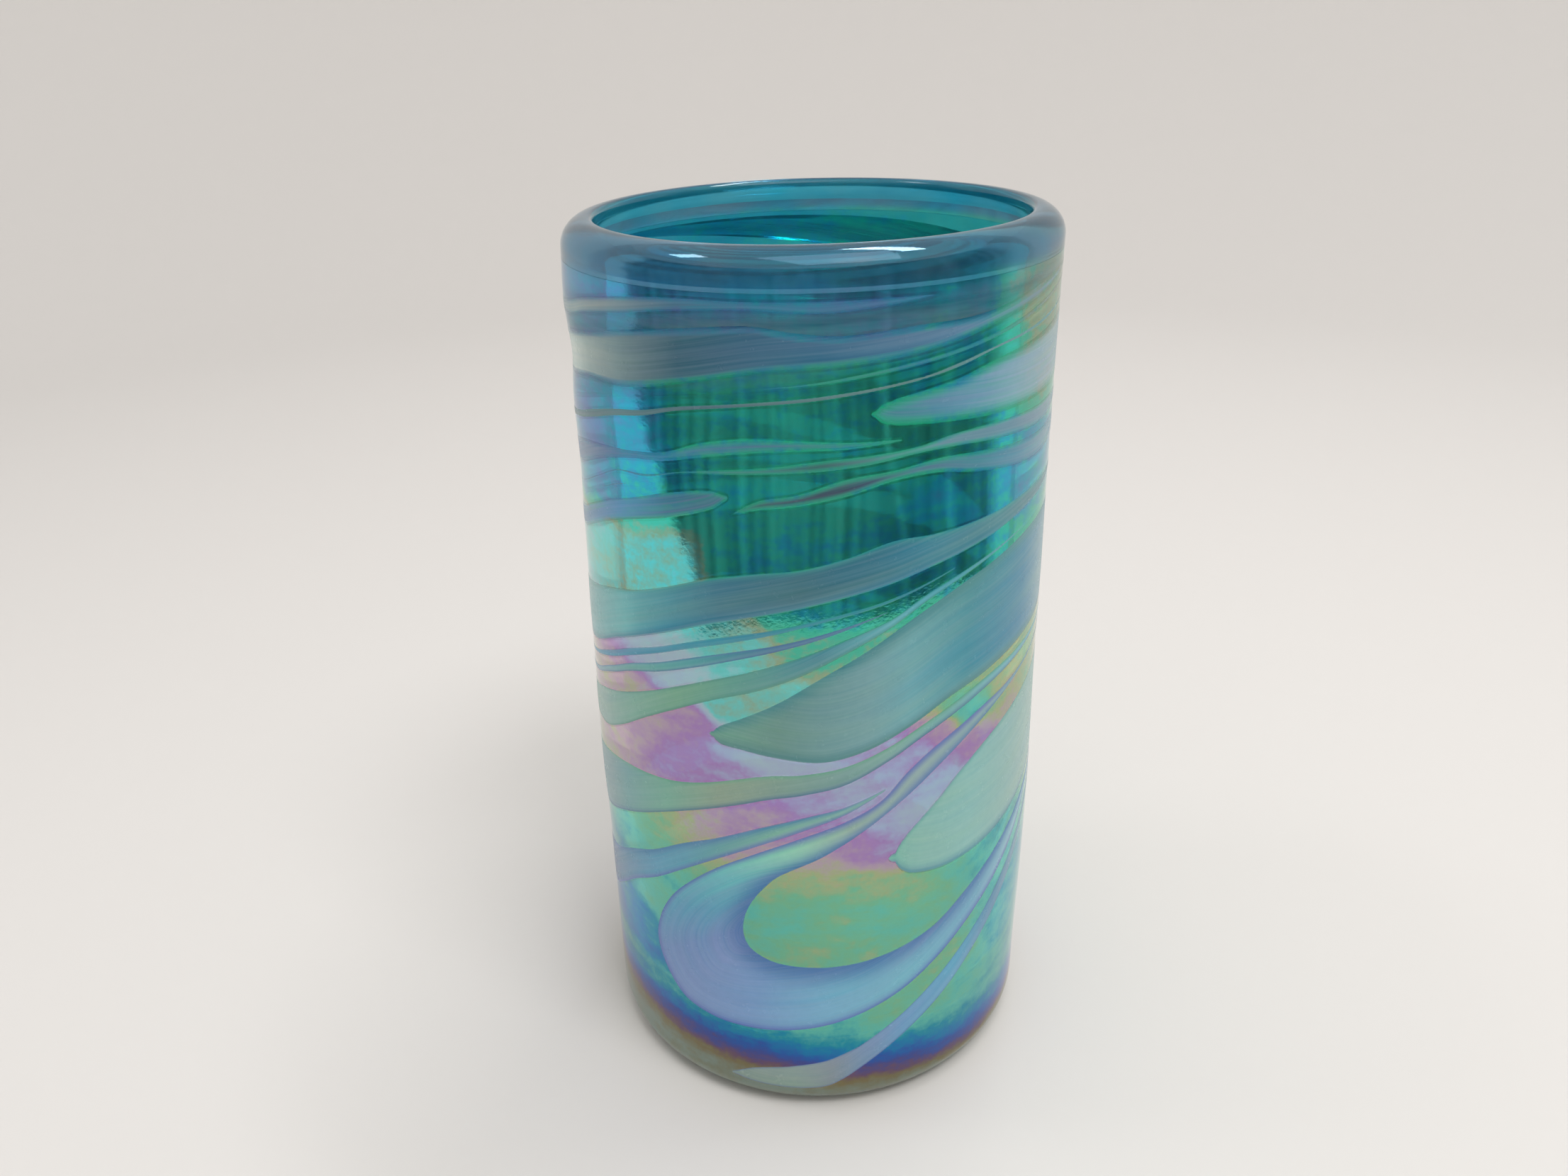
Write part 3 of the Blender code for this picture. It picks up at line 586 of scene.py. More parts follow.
# Bands round the wall: (angle, lower edge, upper edge) at each station. Past 180 is round the back, and
# 360 is the front again.
BANDS = {
    "low_sweep": ("opal_lavender", (
        (88, 6.2, 7.5), (100, 6.4, 11.0), (120, 7.5, 15.0), (150, 9.5, 19.0), (200, 14.5, 26.0),
        (240, 20.5, 32.5), (270, 26.0, 38.0), (285, 28.8, 40.0), (295, 33.5, 42.3), (305, 39.0, 46.3),
        (315, 43.5, 50.0), (325, 48.6, 54.5), (335, 53.3, 58.0), (345, 57.3, 61.3), (355, 60.6, 63.7),
        (365, 63.5, 65.5), (374, 66.9, 67.8))),
    "mid_sweep": ("opal_sea", (
        (150, 27.0, 28.5), (160, 27.5, 33.0), (185, 31.0, 41.0), (220, 36.5, 49.5), (255, 42.5, 56.5),
        (285, 47.5, 61.0), (305, 53.5, 64.2), (325, 60.3, 66.6), (345, 65.7, 70.8), (355, 67.3, 71.6),
        (365, 69.0, 72.8), (375, 72.3, 75.3), (385, 75.8, 78.5), (400, 79.5, 82.0), (415, 81.7, 83.6),
        (435, 83.9, 85.2), (455, 87.0, 88.3), (475, 90.5, 91.7))),
    "back_tongue": ("opal_sea", (
        (92, 36.6, 38.4), (97, 34.0, 42.0), (106, 32.6, 46.0), (122, 33.2, 50.3), (142, 36.5, 54.0),
        (165, 41.5, 57.5), (190, 47.0, 60.0), (215, 52.5, 62.5), (240, 57.8, 65.5), (265, 62.6, 69.5),
        (285, 65.8, 73.0), (295, 67.4, 75.4), (305, 71.0, 77.9), (315, 75.4, 80.8), (325, 79.3, 83.9),
        (335, 82.7, 86.8), (345, 85.2, 89.3), (355, 88.1, 91.9), (365, 91.7, 94.6), (375, 95.2, 97.2),
        (385, 99.0, 100.7), (400, 102.5, 103.7), (415, 104.7, 105.6), (435, 106.3, 107.0))),
    "heel_thread": ("opal_lavender", (
        (-24, 5.4, 6.6), (-18, 4.8, 8.9), (-8, 4.7, 10.7), (0, 5.2, 12.1), (5, 7.0, 13.6),
        (10, 9.6, 15.4), (20, 14.6, 20.3), (30, 19.9, 25.9), (40, 26.0, 31.5), (50, 32.0, 36.9),
        (60, 38.3, 42.3), (70, 44.8, 47.9), (80, 50.2, 52.2), (100, 54.2, 55.9), (130, 58.4, 60.2),
        (170, 64.0, 66.0), (220, 69.3, 71.3), (260, 72.8, 74.4), (285, 75.3, 76.8), (300, 79.4, 81.2),
        (310, 82.5, 84.5), (320, 84.9, 87.1), (330, 87.5, 89.8), (340, 90.0, 92.0), (350, 92.2, 93.8),
        (360, 94.4, 95.7), (374, 97.7, 98.5))),
    "fine_thread": ("opal_teal", (
        (215, 73.0, 73.8), (240, 74.8, 75.8), (265, 76.5, 77.6), (285, 78.7, 79.9), (300, 82.3, 84.1),
        (310, 85.3, 87.2), (320, 88.1, 89.8), (330, 90.8, 92.5), (340, 93.0, 94.7), (350, 95.0, 96.4),
        (360, 97.0, 98.2), (375, 99.4, 100.5), (390, 102.6, 103.5))),
    "sea_tongue": ("opal_sea", (
        (16.8, 52.9, 55.4), (17.8, 51.5, 56.8), (19.5, 50.4, 58.3), (22, 49.6, 60.0), (28, 48.9, 63.5), (34, 48.9, 67.0),
        (42, 49.4, 70.3), (50, 50.3, 72.6), (60, 52.0, 74.8), (75, 55.5, 77.5), (100, 59.6, 81.0),
        (125, 62.4, 83.5), (160, 67.0, 85.5), (200, 72.0, 87.0), (220, 74.9, 88.5), (250, 77.8, 90.2),
        (285, 81.3, 93.0), (305, 87.0, 96.6), (315, 89.9, 98.5), (325, 92.8, 101.0), (335, 95.5, 103.6),
        (345, 97.5, 105.1), (355, 99.2, 106.0), (365, 100.8, 107.6), (375, 102.3, 109.6),
        (385, 104.0, 109.7), (400, 106.0, 110.2), (415, 107.7, 110.9), (435, 109.2, 111.4),
        (460, 112.5, 114.0), (480, 115.5, 116.3))),
    "great_tongue": ("opal_sea", (
        (-25.2, 76.2, 77.8), (-23.5, 75.2, 79.0), (-18, 74.7, 81.0), (-10, 73.8, 84.1), (0, 73.2, 88.6),
        (10, 74.7, 92.6), (20, 77.6, 96.7), (30, 80.8, 99.8), (40, 82.5, 102.0), (55, 84.5, 104.2),
        (75, 86.5, 105.4), (95, 89.6, 107.0), (115, 92.8, 109.5), (150, 98.8, 111.6), (200, 108.8, 115.2),
        (240, 114.8, 118.4), (285, 120.5, 122.4), (300, 122.9, 124.8), (310, 124.7, 126.4),
        (320, 126.0, 127.5), (330, 127.7, 129.0), (345, 129.1, 130.3), (360, 130.1, 131.3),
        (380, 131.7, 132.8), (390, 132.8, 134.0), (400, 134.1, 135.2), (415, 135.1, 136.3),
        (435, 137.0, 138.0), (450, 139.3, 140.1))),
    "slate_tongue": ("opal_slate", (
        (145, 89.3, 90.3), (165, 89.9, 93.2), (200, 93.0, 97.3), (240, 97.2, 101.8), (270, 100.3, 105.0),
        (285, 101.8, 106.3), (295, 104.4, 108.8), (305, 107.2, 111.5), (315, 109.4, 113.6),
        (325, 111.2, 115.8), (333, 112.9, 117.0), (337, 114.0, 117.2), (339.3, 115.2, 116.8))),
    "lower_comb": ("opal_slate", (
        (-19, 113.4, 114.2), (-13, 114.3, 116.4), (-5, 115.0, 117.4), (5, 116.3, 119.5),
        (15, 118.0, 120.2), (25, 118.2, 121.0), (35, 116.9, 120.6), (50, 115.4, 119.7), (65, 115.1, 119.4),
        (85, 116.8, 120.8), (100, 118.8, 122.4), (130, 122.5, 126.5), (165, 126.5, 130.5),
        (200, 130.0, 134.0), (240, 133.3, 137.0), (285, 136.5, 139.7), (300, 138.4, 141.5),
        (315, 140.0, 143.0), (330, 141.4, 143.8), (345, 142.0, 143.8), (360, 141.5, 143.8),
        (375, 142.2, 143.8), (384, 142.9, 143.7))),
    "violet_sweep": ("opal_lavender", (
        (170, 97.3, 98.3), (200, 101.0, 105.3), (240, 106.6, 111.8), (270, 110.2, 116.0),
        (285, 112.5, 117.8), (295, 114.9, 119.2), (305, 117.3, 120.2), (315, 119.0, 120.9),
        (325, 119.9, 121.9), (335, 121.4, 124.2), (345, 122.5, 125.3), (355, 123.0, 125.2),
        (365, 123.1, 124.8), (376, 123.6, 124.6))),
    "upper_comb": ("opal_slate", (
        (255, 105.8, 106.6), (285, 109.6, 110.6), (300, 113.4, 114.4), (310, 116.2, 117.2),
        (320, 116.9, 118.0), (330, 118.6, 119.6), (340, 119.2, 120.6), (350, 119.7, 121.4),
        (360, 120.1, 122.3), (370, 120.7, 122.7), (380, 121.5, 123.2), (390, 121.5, 124.1),
        (405, 120.6, 124.0), (420, 120.0, 123.7), (435, 120.7, 123.8), (455, 123.0, 124.3),
        (468, 124.9, 125.8))),
    "short_thread": ("opal_lavender", (
        (272, 106.2, 107.0), (285, 107.6, 108.5), (300, 111.5, 112.4), (310, 114.0, 115.0),
        (321, 116.0, 116.6))),
    "pale_tongue": ("opal_lavender", (
        (10.6, 127.4, 128.8), (12, 126.5, 129.6), (15, 125.9, 130.3), (22, 125.5, 131.1),
        (30, 125.1, 131.9), (40, 124.6, 133.3), (55, 124.4, 134.4), (75, 124.8, 136.2), (95, 127.2, 138.2),
        (120, 131.0, 140.5), (150, 135.5, 142.5), (185, 138.8, 143.3), (215, 141.2, 143.4),
        (238, 142.6, 143.5))),
    "high_sweep": ("opal_slate", (
        (150, 117.5, 118.5), (170, 118.6, 122.5), (200, 121.0, 126.5), (240, 123.5, 131.0),
        (270, 126.0, 134.0), (285, 127.2, 135.2), (300, 128.8, 136.7), (315, 129.5, 138.4),
        (330, 131.4, 139.8), (345, 133.4, 140.7), (355, 134.1, 139.8), (365, 134.5, 139.3),
        (380, 135.4, 139.9), (390, 136.4, 139.9), (400, 137.6, 140.4), (415, 139.2, 142.0),
        (435, 141.6, 143.5), (448, 142.8, 143.8))),
}


# The great loop doubles back: (angle, height) on its outer edge and on its inner edge at each station.
LOOP = (
    ((125, 60.4), (125, 61.4)), ((100, 57.1), (100, 58.8)), ((75, 52.6), (75, 54.8)),
    ((60, 44.9), (60, 49.9)), ((50, 39.9), (48, 45.9)), ((40, 35.1), (38, 42.2)),
    ((30, 30.1), (28, 38.0)), ((20, 25.4), (18, 35.5)), ((10, 22.0), (9, 34.1)), ((0, 19.7), (0, 33.5)),
    ((-10, 18.4), (-8, 33.7)), ((-20, 17.8), (-13, 34.4)), ((-30, 17.9), (-17, 36.0)),
    ((-39, 19.6), (-18.7, 37.8)), ((-45, 24.5), (-19.2, 39.6)), ((-47.2, 30.0), (-19, 41.5)),
    ((-45, 36.0), (-18.2, 43.8)), ((-40, 42.0), (-16.5, 46.4)), ((-33, 47.4), (-14, 49.0)),
    ((-25, 52.2), (-10.5, 51.7)), ((-15, 56.6), (-6, 53.6)), ((-5, 60.0), (0, 55.8)),
    ((5, 62.8), (8, 59.4)), ((13, 65.7), (15, 62.8)), ((20, 70.4), (22, 66.2)), ((28, 73.9), (30, 70.0)),
    ((40, 77.1), (41, 74.3)), ((50, 78.6), (50, 76.8)), ((60, 80.0), (60, 78.8)),
    ((75, 82.3), (75, 81.0)), ((95, 85.6), (95, 84.3)), ((115, 88.9), (115, 87.9)),
)



# How each trail is coloured. core is (station, colour) along it, low and high are the colours that its two
# edges turn to with how far in they reach, and crease is the side with a line of painted shade.
LOOKS = {
    "great_loop": dict(
        core=((0, (132, 180, 195)), (3, (150, 198, 208)), (5, (120, 176, 204)), (7, (122, 190, 208)),
              (9, (124, 184, 214)), (11, (124, 164, 212)), (13, (130, 156, 206)), (14.5, (114, 148, 200)),
              (16.5, (84, 166, 196)), (18.5, (104, 200, 200)), (20.5, (160, 222, 186)),
              (22, (168, 190, 160)), (25, (160, 182, 170)), (27, (136, 178, 172)), (31, (105, 150, 155))),
        low=((62, 82, 178), 2.2), high=((0, 104, 168), 7.0), crease="none", density=1.35, soft=0.5),
    "low_sweep": dict(
        core=((0, (110, 140, 165)), (7, (92, 122, 155)), (9, (90, 154, 184)), (10, (74, 168, 196)),
              (11, (66, 170, 186)), (12, (94, 172, 164)), (13.5, (134, 190, 158)), (16, (136, 180, 160))),
        low=((80, 96, 182), 1.8), high=((10, 116, 168), 2.4), crease="none", density=1.35, soft=0.5),
    "mid_sweep": dict(
        core=((0, (110, 150, 160)), (5.5, (128, 158, 170)), (6, (110, 166, 175)), (6.8, (128, 182, 162)),
              (7.5, (155, 164, 144)), (8.5, (138, 160, 149)), (10, (128, 160, 158)), (11, (142, 176, 170)),
              (12.3, (114, 174, 176)), (13.7, (112, 184, 208)), (17, (105, 150, 158))),
        low=((10, 88, 145), 1.5), high=((90, 165, 130), 1.2), crease="low", density=1.35, soft=0.4),
    "back_tongue": dict(
        core=((0, (115, 165, 160)), (9, (130, 168, 160)), (11, (150, 180, 174)), (12.5, (140, 184, 168)),
              (14, (118, 172, 144)), (15.5, (90, 160, 152)), (17.5, (64, 138, 158)), (19, (98, 182, 198)),
              (21, (80, 168, 188)), (23, (98, 150, 165))),
        low=((30, 132, 116), 1.2), high=((28, 130, 118), 0.9), crease="low", density=1.3, soft=0.5),
    "heel_thread": dict(
        core=((0, (150, 160, 142)), (2, (154, 168, 148)), (3.3, (146, 150, 152)), (5.3, (122, 150, 186)),
              (6, (104, 160, 202)), (7.5, (90, 172, 204)), (9, (84, 146, 178)), (10.5, (140, 170, 184)),
              (15, (130, 165, 172)), (18.5, (140, 184, 188)), (20, (116, 182, 168)), (22, (72, 172, 166)),
              (24, (30, 124, 146)), (26, (40, 130, 146))),
        low=((30, 72, 150), 0.9), high=((36, 88, 160), 0.8), crease="both", density=1.3, soft=0.4),
    "fine_thread": dict(
        core=((0, (70, 150, 170)), (4, (56, 150, 186)), (7, (42, 146, 172)), (12, (40, 130, 146))),
        low=((12, 105, 142), 0.5), high=((20, 112, 142), 0.5), crease="low", density=1.0, soft=0.4),
    "sea_tongue": dict(
        core=((0, (128, 190, 172)), (3.5, (148, 192, 184)), (5.5, (152, 196, 192)), (8, (160, 188, 184)),
              (12, (138, 176, 176)), (15.5, (142, 182, 188)), (17.3, (112, 194, 200)), (18, (78, 168, 182)),
              (19, (46, 144, 168)), (20.2, (22, 112, 146)), (22, (18, 98, 126)), (23.5, (34, 112, 138)),
              (25, (48, 134, 160)), (27, (62, 122, 146)), (29, (98, 150, 162))),
        low=((10, 120, 155), 2.4), high=((36, 152, 150), 1.6), crease="none", density=1.3, soft=0.8),
    "great_tongue": dict(
        core=((0, (108, 160, 140)), (1.5, (114, 164, 146)), (3, (98, 142, 136)), (4, (108, 150, 156)),
              (5, (122, 162, 170)), (6, (110, 170, 182)), (7.5, (44, 144, 166)), (9, (30, 130, 170)),
              (10, (140, 170, 182)), (14, (130, 160, 170)), (17, (96, 118, 136)), (21, (72, 100, 120)),
              (26, (92, 150, 158)), (28, (115, 150, 160))),
        low=((60, 126, 130), 2.6), high=((44, 132, 142), 3.8), crease="low", density=1.35, soft=0.5),
    "slate_tongue": dict(
        core=((0, (110, 135, 170)), (5, (118, 150, 180)), (6, (108, 160, 198)), (7.5, (78, 152, 206)),
              (9, (56, 114, 150)), (10, (58, 116, 142)), (13, (60, 116, 140))),
        low=((60, 72, 125), 1.0), high=((50, 118, 142), 0.9), crease="low", density=0.95, soft=1.0),
    "lower_comb": dict(
        core=((0, (52, 72, 84)), (1.5, (54, 70, 84)), (3, (52, 68, 86)), (4.5, (84, 120, 144)),
              (6, (70, 138, 156)), (7, (92, 146, 168)), (8, (132, 166, 178)), (12, (120, 150, 160)),
              (15.7, (188, 190, 184)), (16.5, (158, 162, 160)), (18, (60, 116, 140)), (22, (58, 112, 158))),
        low=((46, 74, 92), 1.0), high=((50, 86, 108), 1.0), crease="none", density=1.0, soft=1.2),
    "violet_sweep": dict(
        core=((0, (100, 128, 170)), (5, (117, 142, 168)), (6.5, (68, 108, 160)), (8, (62, 128, 168)),
              (9.5, (52, 120, 148)), (11.5, (48, 98, 124)), (13, (52, 104, 122))),
        low=((72, 82, 150), 1.2), high=((60, 112, 162), 1.2), crease="none", density=1.0, soft=1.4),
    "upper_comb": dict(
        core=((0, (112, 150, 166)), (4, (80, 120, 148)), (8, (54, 70, 84)), (10, (116, 152, 166)),
              (12, (112, 150, 164)), (13.5, (138, 160, 172)), (16, (145, 168, 178))),
        low=((52, 80, 98), 0.8), high=((60, 96, 118), 0.8), crease="none", density=1.0, soft=1.0),
    "short_thread": dict(
        core=((0, (100, 140, 170)), (4, (80, 140, 165))),
        low=((80, 95, 150), 0.4), high=((80, 120, 150), 0.4), crease="none", density=0.8, soft=0.5),
    "pale_tongue": dict(
        core=((0, (52, 128, 142)), (2, (58, 134, 150)), (3.3, (82, 142, 166)), (4.5, (118, 160, 185)),
              (5.7, (152, 176, 190)), (6.4, (166, 182, 190)), (9, (145, 172, 182)), (13, (120, 150, 165))),
        low=((76, 128, 150), 1.8), high=((76, 128, 152), 2.0), crease="none", density=0.95, soft=2.2),
    "high_sweep": dict(
        core=((0, (190, 205, 200)), (5.3, (240, 240, 228)), (6, (190, 198, 188)), (7, (122, 140, 136)),
              (8, (52, 100, 116)), (9, (34, 102, 128)), (10.5, (38, 108, 140)), (11.7, (76, 124, 156)),
              (13, (100, 142, 172)), (15, (124, 150, 165)), (17, (145, 164, 172))),
        low=((58, 96, 118), 1.8), high=((60, 102, 130), 2.2), crease="none", density=1.3, soft=2.0),
    "smoke_thread": dict(
        core=((0, (105, 118, 165)), (3, (62, 92, 120)), (6, (52, 88, 112)), (8, (90, 122, 138)),
              (9, (130, 150, 160)), (11, (150, 160, 166))),
        low=((52, 92, 112), 0.5), high=((60, 100, 122), 0.6), crease="none", density=0.9, soft=0.9),
    "lilac_thread": dict(
        core=((0, (110, 115, 170)), (3, (80, 120, 150))),
        low=((80, 85, 150), 0.4), high=((80, 110, 150), 0.4), crease="none", density=0.8, soft=0.5),
}
OPAL_TINT = (0.84, 1.0, 1.0)
BACK_THINNING = 0.5
# Painted shade along a trail's crease edge: how far in it reaches and how dark it gets
CREASE_WIDTH = 0.45
CREASE_SHADE = 0.42

# Threads too fine for the CAD model
FINE_THREADS = {
    "smoke_thread": ("opal_slate", ((285, 125.3, 126.0), (300, 127.0, 127.8), (315, 128.5, 129.3), (330, 130.2, 131.0),
                                    (345, 131.3, 132.2), (360, 132.2, 133.3), (375, 133.4, 134.7),
                                    (390, 134.7, 136.0), (405, 136.3, 137.7), (420, 138.2, 139.6),
                                    (435, 140.0, 141.2), (450, 141.6, 142.4))),
    "lilac_thread": ("opal_lavender", ((285, 123.8, 124.6), (300, 126.2, 127.0), (310, 127.8, 128.5),
                                       (319, 129.0, 129.4))),
}


def flat(points):
    """Points (angle, height) laid out flat: distance round the wall, and height."""
    return points * (math.radians(1.0) * WALL_RADII[1], 1.0)


def smooth_ribs(stations):
    """Evenly spread cross-lines (outer angle, outer height, inner angle, inner height) on Catmull-Rom
    curves through the stations, with each one's place among the stations."""
    values = np.array([outer + inner for outer, inner in stations], float)
    ribs, places = [], []
    for station in range(len(values) - 1):
        start, end = values[station], values[station + 1]
        before, after = values[max(station - 1, 0)], values[min(station + 2, len(values) - 1)]
        runs = [np.hypot(*(flat(end[side]) - flat(start[side]))) for side in (slice(0, 2), slice(2, 4))]
        steps = max(2, round(max(runs) / RIB_STEP))
        for step in range(steps):
            share = step / steps
            square, cube = share ** 2, share ** 3
            ribs.append((2 * cube - 3 * square + 1) * start + (cube - 2 * square + share) * (end - before) / 2
                        + (3 * square - 2 * cube) * end + (cube - square) * (after - start) / 2)
            places.append(station + share)
    ribs.append(values[-1])
    places.append(len(values) - 1)
    return np.array(ribs), np.array(places, float)


def round_ends(ribs, places):
    """Adds ribs that close each end of the trail with a half round."""
    for end in (0, -1):
        here, inside = ribs[end], ribs[1 if end == 0 else -2]
        middle = (here[:2] + here[2:]) / 2
        half = (here[:2] - here[2:]) / 2
        out = flat(middle) - flat((inside[:2] + inside[2:]) / 2)
        out = out / np.hypot(*out) * np.hypot(*flat(half))
        out = out / (math.radians(1.0) * WALL_RADII[1], 1.0)
        added = []
        for turn in np.radians((20, 40, 58, 74, 86)):
            centre = middle + out * math.sin(turn)
            side = half * math.cos(turn)
            added.append(np.concatenate([centre + side, centre - side]))
        if end == 0:
            ribs = np.concatenate([added[::-1], ribs])
            places = np.concatenate([[places[0]] * len(added), places])
        else:
            ribs = np.concatenate([ribs, added])
            places = np.concatenate([places, [places[-1]] * len(added)])
    return ribs, places


def trail_paint(look, places, from_outer, from_inner, outer_is_low):
    """Linear colour of each point: the core colour along the trail, turning to the colours of its edges,
    with a line of painted shade along one or both of them."""
    stations = [station for station, _ in look["core"]]
    colours = np.array([linear(*colour) for _, colour in look["core"]])
    paint = np.stack([np.interp(places, stations, colours[:, part]) for part in range(3)], -1)
    from_low, from_high = (from_outer, from_inner) if outer_is_low else (from_inner, from_outer)
    half = (from_low + from_high) / 2
    for distance, side in ((from_low, "low"), (from_high, "high")):
        colour, reach = look[side]
        share = 1.0 - blend(distance, 0.0, np.minimum(reach, half * 1.2))
        paint = paint + (np.array(linear(*colour)) - paint) * (share ** 1.2 * 0.96)[:, None]
        # Painted shade: the crease side is darkened in a line along its edge
        if look["crease"] in (side, "both"):
            dark = (1.0 - blend(distance, 0.0, CREASE_WIDTH)) * CREASE_SHADE * blend(half, 0.4, 1.0)
            paint = paint * (1.0 - dark)[:, None]
    return paint * OPAL_TINT


def make_trail(name, stations, slot):
    """One trail: a crowned ribbon of opal glass, its edges tucked under the skin of the wall."""
    ribs, places = round_ends(*smooth_ribs(stations))
    widths = np.hypot(*(flat(ribs[:, :2]) - flat(ribs[:, 2:])).T)
    centres = flat((ribs[:, :2] + ribs[:, 2:]) / 2)
    travelled = np.concatenate([[0.0], np.cumsum(np.hypot(*np.diff(centres, axis=0).T))])
    across = (1.0 - np.cos(np.linspace(0.0, math.pi, COLUMNS + 1))) / 2
    under = np.array((0.88, 0.5, 0.12))
    shares = np.concatenate([across, under])
    rows = ribs[:, None, :2] * (1.0 - shares)[None, :, None] + ribs[:, None, 2:] * shares[None, :, None]
    from_outer = widths[:, None] * shares[None, :]
    from_inner = widths[:, None] - from_outer
    nearest = np.minimum(from_outer, from_inner)
    crown = TRAIL_CROWN * np.minimum(1.0, widths / 3.0)[:, None] * (4.0 * shares * (1.0 - shares))[None, :]
    edge = blend(nearest, 0.0, EDGE_WIDTH) * np.minimum(1.0, widths / 1.2)[:, None]
    crown = crown * (1.0 - 0.8 * blend(rows[..., 1], 92.0, 110.0))
    stand_out = -TRAIL_TUCK + edge * (TRAIL_TUCK + TRAIL_LIFT + crown)
    depth = np.where(np.arange(len(shares)) > COLUMNS, -np.minimum(TRAIL_DEPTH, widths[:, None] * 0.6), stand_out)
    points = placed(rows[..., 0], outside_radius(rows[..., 1]) + depth, rows[..., 1]).reshape(-1, 3)
    ring = len(shares)
    faces = []
    for rib in range(len(ribs) - 1):
        for column in range(ring):
            following = (column + 1) % ring
            faces.append((rib * ring + column, rib * ring + following,
                          (rib + 1) * ring + following, (rib + 1) * ring + column))
    faces.append(tuple(range(ring))[::-1])
    faces.append(tuple(range((len(ribs) - 1) * ring, len(ribs) * ring)))
    trail = piece_from(name, points, faces, [OPALS[slot]])
    tidy = bmesh.new()
    tidy.from_mesh(trail.data)
    bmesh.ops.recalc_face_normals(tidy, faces=tidy.faces)
    tidy.to_mesh(trail.data)
    tidy.free()
    middle = len(stations) // 2
    outer_is_low = stations[middle][0][1] < stations[middle][1][1]
    everywhere = np.repeat(places, ring)
    paint = trail_paint(LOOKS[name], everywhere, from_outer.ravel(), from_inner.ravel(), outer_is_low)
    keep("opal", trail.data, "FLOAT_COLOR", np.concatenate([paint, np.ones((len(paint), 1))], -1))
    look = LOOKS[name]
    veil = look["density"] * blend(nearest, 0.0, 0.15 + look["soft"])
    turned_away = np.abs((rows[..., 0] + 180.0) % 360.0 - 180.0)
    thinned = BACK_THINNING * blend(rows[..., 1], 95.0, 120.0) * blend(turned_away, 95.0, 130.0)
    keep("veil", trail.data, "FLOAT", (veil * (1.0 - thinned)).ravel())
    keep("film", trail.data, "FLOAT", film_thickness(points))
    flow = np.stack([np.repeat(travelled, ring), from_outer.ravel(), np.zeros(len(paint))], -1)
    keep("flow", trail.data, "FLOAT_VECTOR", flow)
    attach(trail, BODY)
    return trail


def as_stations(band):
    return [((angle, low), (angle, high)) for angle, low, high in band]


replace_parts(make_trail("great_loop", LOOP, "opal_lavender"), "opal_trail_great_loop")
for trail_name, (trail_slot, trail_band) in BANDS.items():
    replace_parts(make_trail(trail_name, as_stations(trail_band), trail_slot), "opal_trail_" + trail_name)
for trail_name, (trail_slot, trail_band) in FINE_THREADS.items():
    make_trail(trail_name, as_stations(trail_band), trail_slot)


# Studio

FLOOR_FLAT = 0.62
FLOOR_CURVE = 0.45
FLOOR_WALL = 1.1
CLOTH_REACH = 0.235
FLOOR_SIDES = 180
ROOM_DISTANCE = 0.95
ROOM_FROM = -76.0
ROOM_TO = 90.0
PANEL_FROM = -104.0
PANEL_TO = 104.0
ROOM_LOW = -0.75
ROOM_HIGH = 0.85
ROOM_COLOUR = (0.7, 1.0, 1.04)
ROOM_EDGE_HEIGHTS = (-0.75, -0.37, -0.33, -0.30, -0.24, -0.15, -0.06, 0.85)
ROOM_EDGE_SHIFTS = (30.0, 26.0, 22.0, 17.0, 5.0, -4.0, -13.0, -15.0)
# Brightness of the dark side against the azimuth round the vase
ROOM_TONES = (
    (-78, 0.95), (-74, 0.3), (-70, 0.2), (-40, 0.25), (-16, 0.27), (-11, 0.31), (8, 0.25), (26, 0.16),
    (30, 0.13), (34, 0.31), (37, 0.14), (50, 0.20), (57, 0.15), (62, 0.24), (67, 0.14), (80, 0.24),
    (88, 0.45), (95, 0.85),
)


def plain(name, colour, roughness):
    made, _, shader = new_material(name, Roughness=roughness)
    shader.inputs["Base Color"].default_value = (*linear(*colour), 1.0)
    shader.inputs["Specular IOR Level"].default_value = 0.1
    return made


def faces_room(place):
    """Whether a place on the floor lies beyond the cloth on the dark side of the studio."""
    turn = math.degrees(math.atan2(place.x, -place.y))
    return math.hypot(place.x, place.y) > CLOTH_REACH and PANEL_FROM < turn < PANEL_TO


def make_floor():
    """A pale round sweep: flat round the vase, then curving up to a low wall."""
    cloth = plain("pale_cloth", (229, 226, 223), 0.9)
    profile = [(0.0, 0.0), (0.05, 0.0), (0.1, 0.0), (CLOTH_REACH, 0.0), (0.35, 0.0)]
    profile += [(FLOOR_FLAT + FLOOR_CURVE * math.sin(turn), FLOOR_CURVE * (1 - math.cos(turn)))
                for turn in np.radians(np.linspace(0, 90, 16))]
    profile.append((FLOOR_FLAT + FLOOR_CURVE, FLOOR_WALL))
    shape = bmesh.new()
    points = [shape.verts.new((radius, 0.0, height)) for radius, height in profile]
    edges = [shape.edges.new(pair) for pair in zip(points, points[1:])]
    bmesh.ops.spin(shape, geom=points + edges, axis=(0, 0, 1), cent=(0, 0, 0), dvec=(0, 0, 0),
                   angle=2 * math.pi, steps=FLOOR_SIDES)
    bmesh.ops.remove_doubles(shape, verts=shape.verts, dist=1e-5)
    bmesh.ops.recalc_face_normals(shape, faces=shape.faces)
    for name, front in (("floor", False), ("floor_front", True)):
        part = shape.copy()
        gone = [face for face in part.faces if faces_room(face.calc_center_median()) != front]
        bmesh.ops.delete(part, geom=gone, context="FACES")
        mesh = bpy.data.meshes.new(name)
        part.to_mesh(mesh)
        part.free()
        mesh.materials.append(cloth)
        mesh.shade_smooth()
        made = bpy.data.objects.new(name, mesh)
        bpy.context.scene.collection.objects.link(made)
        made.visible_glossy = not front
    shape.free()


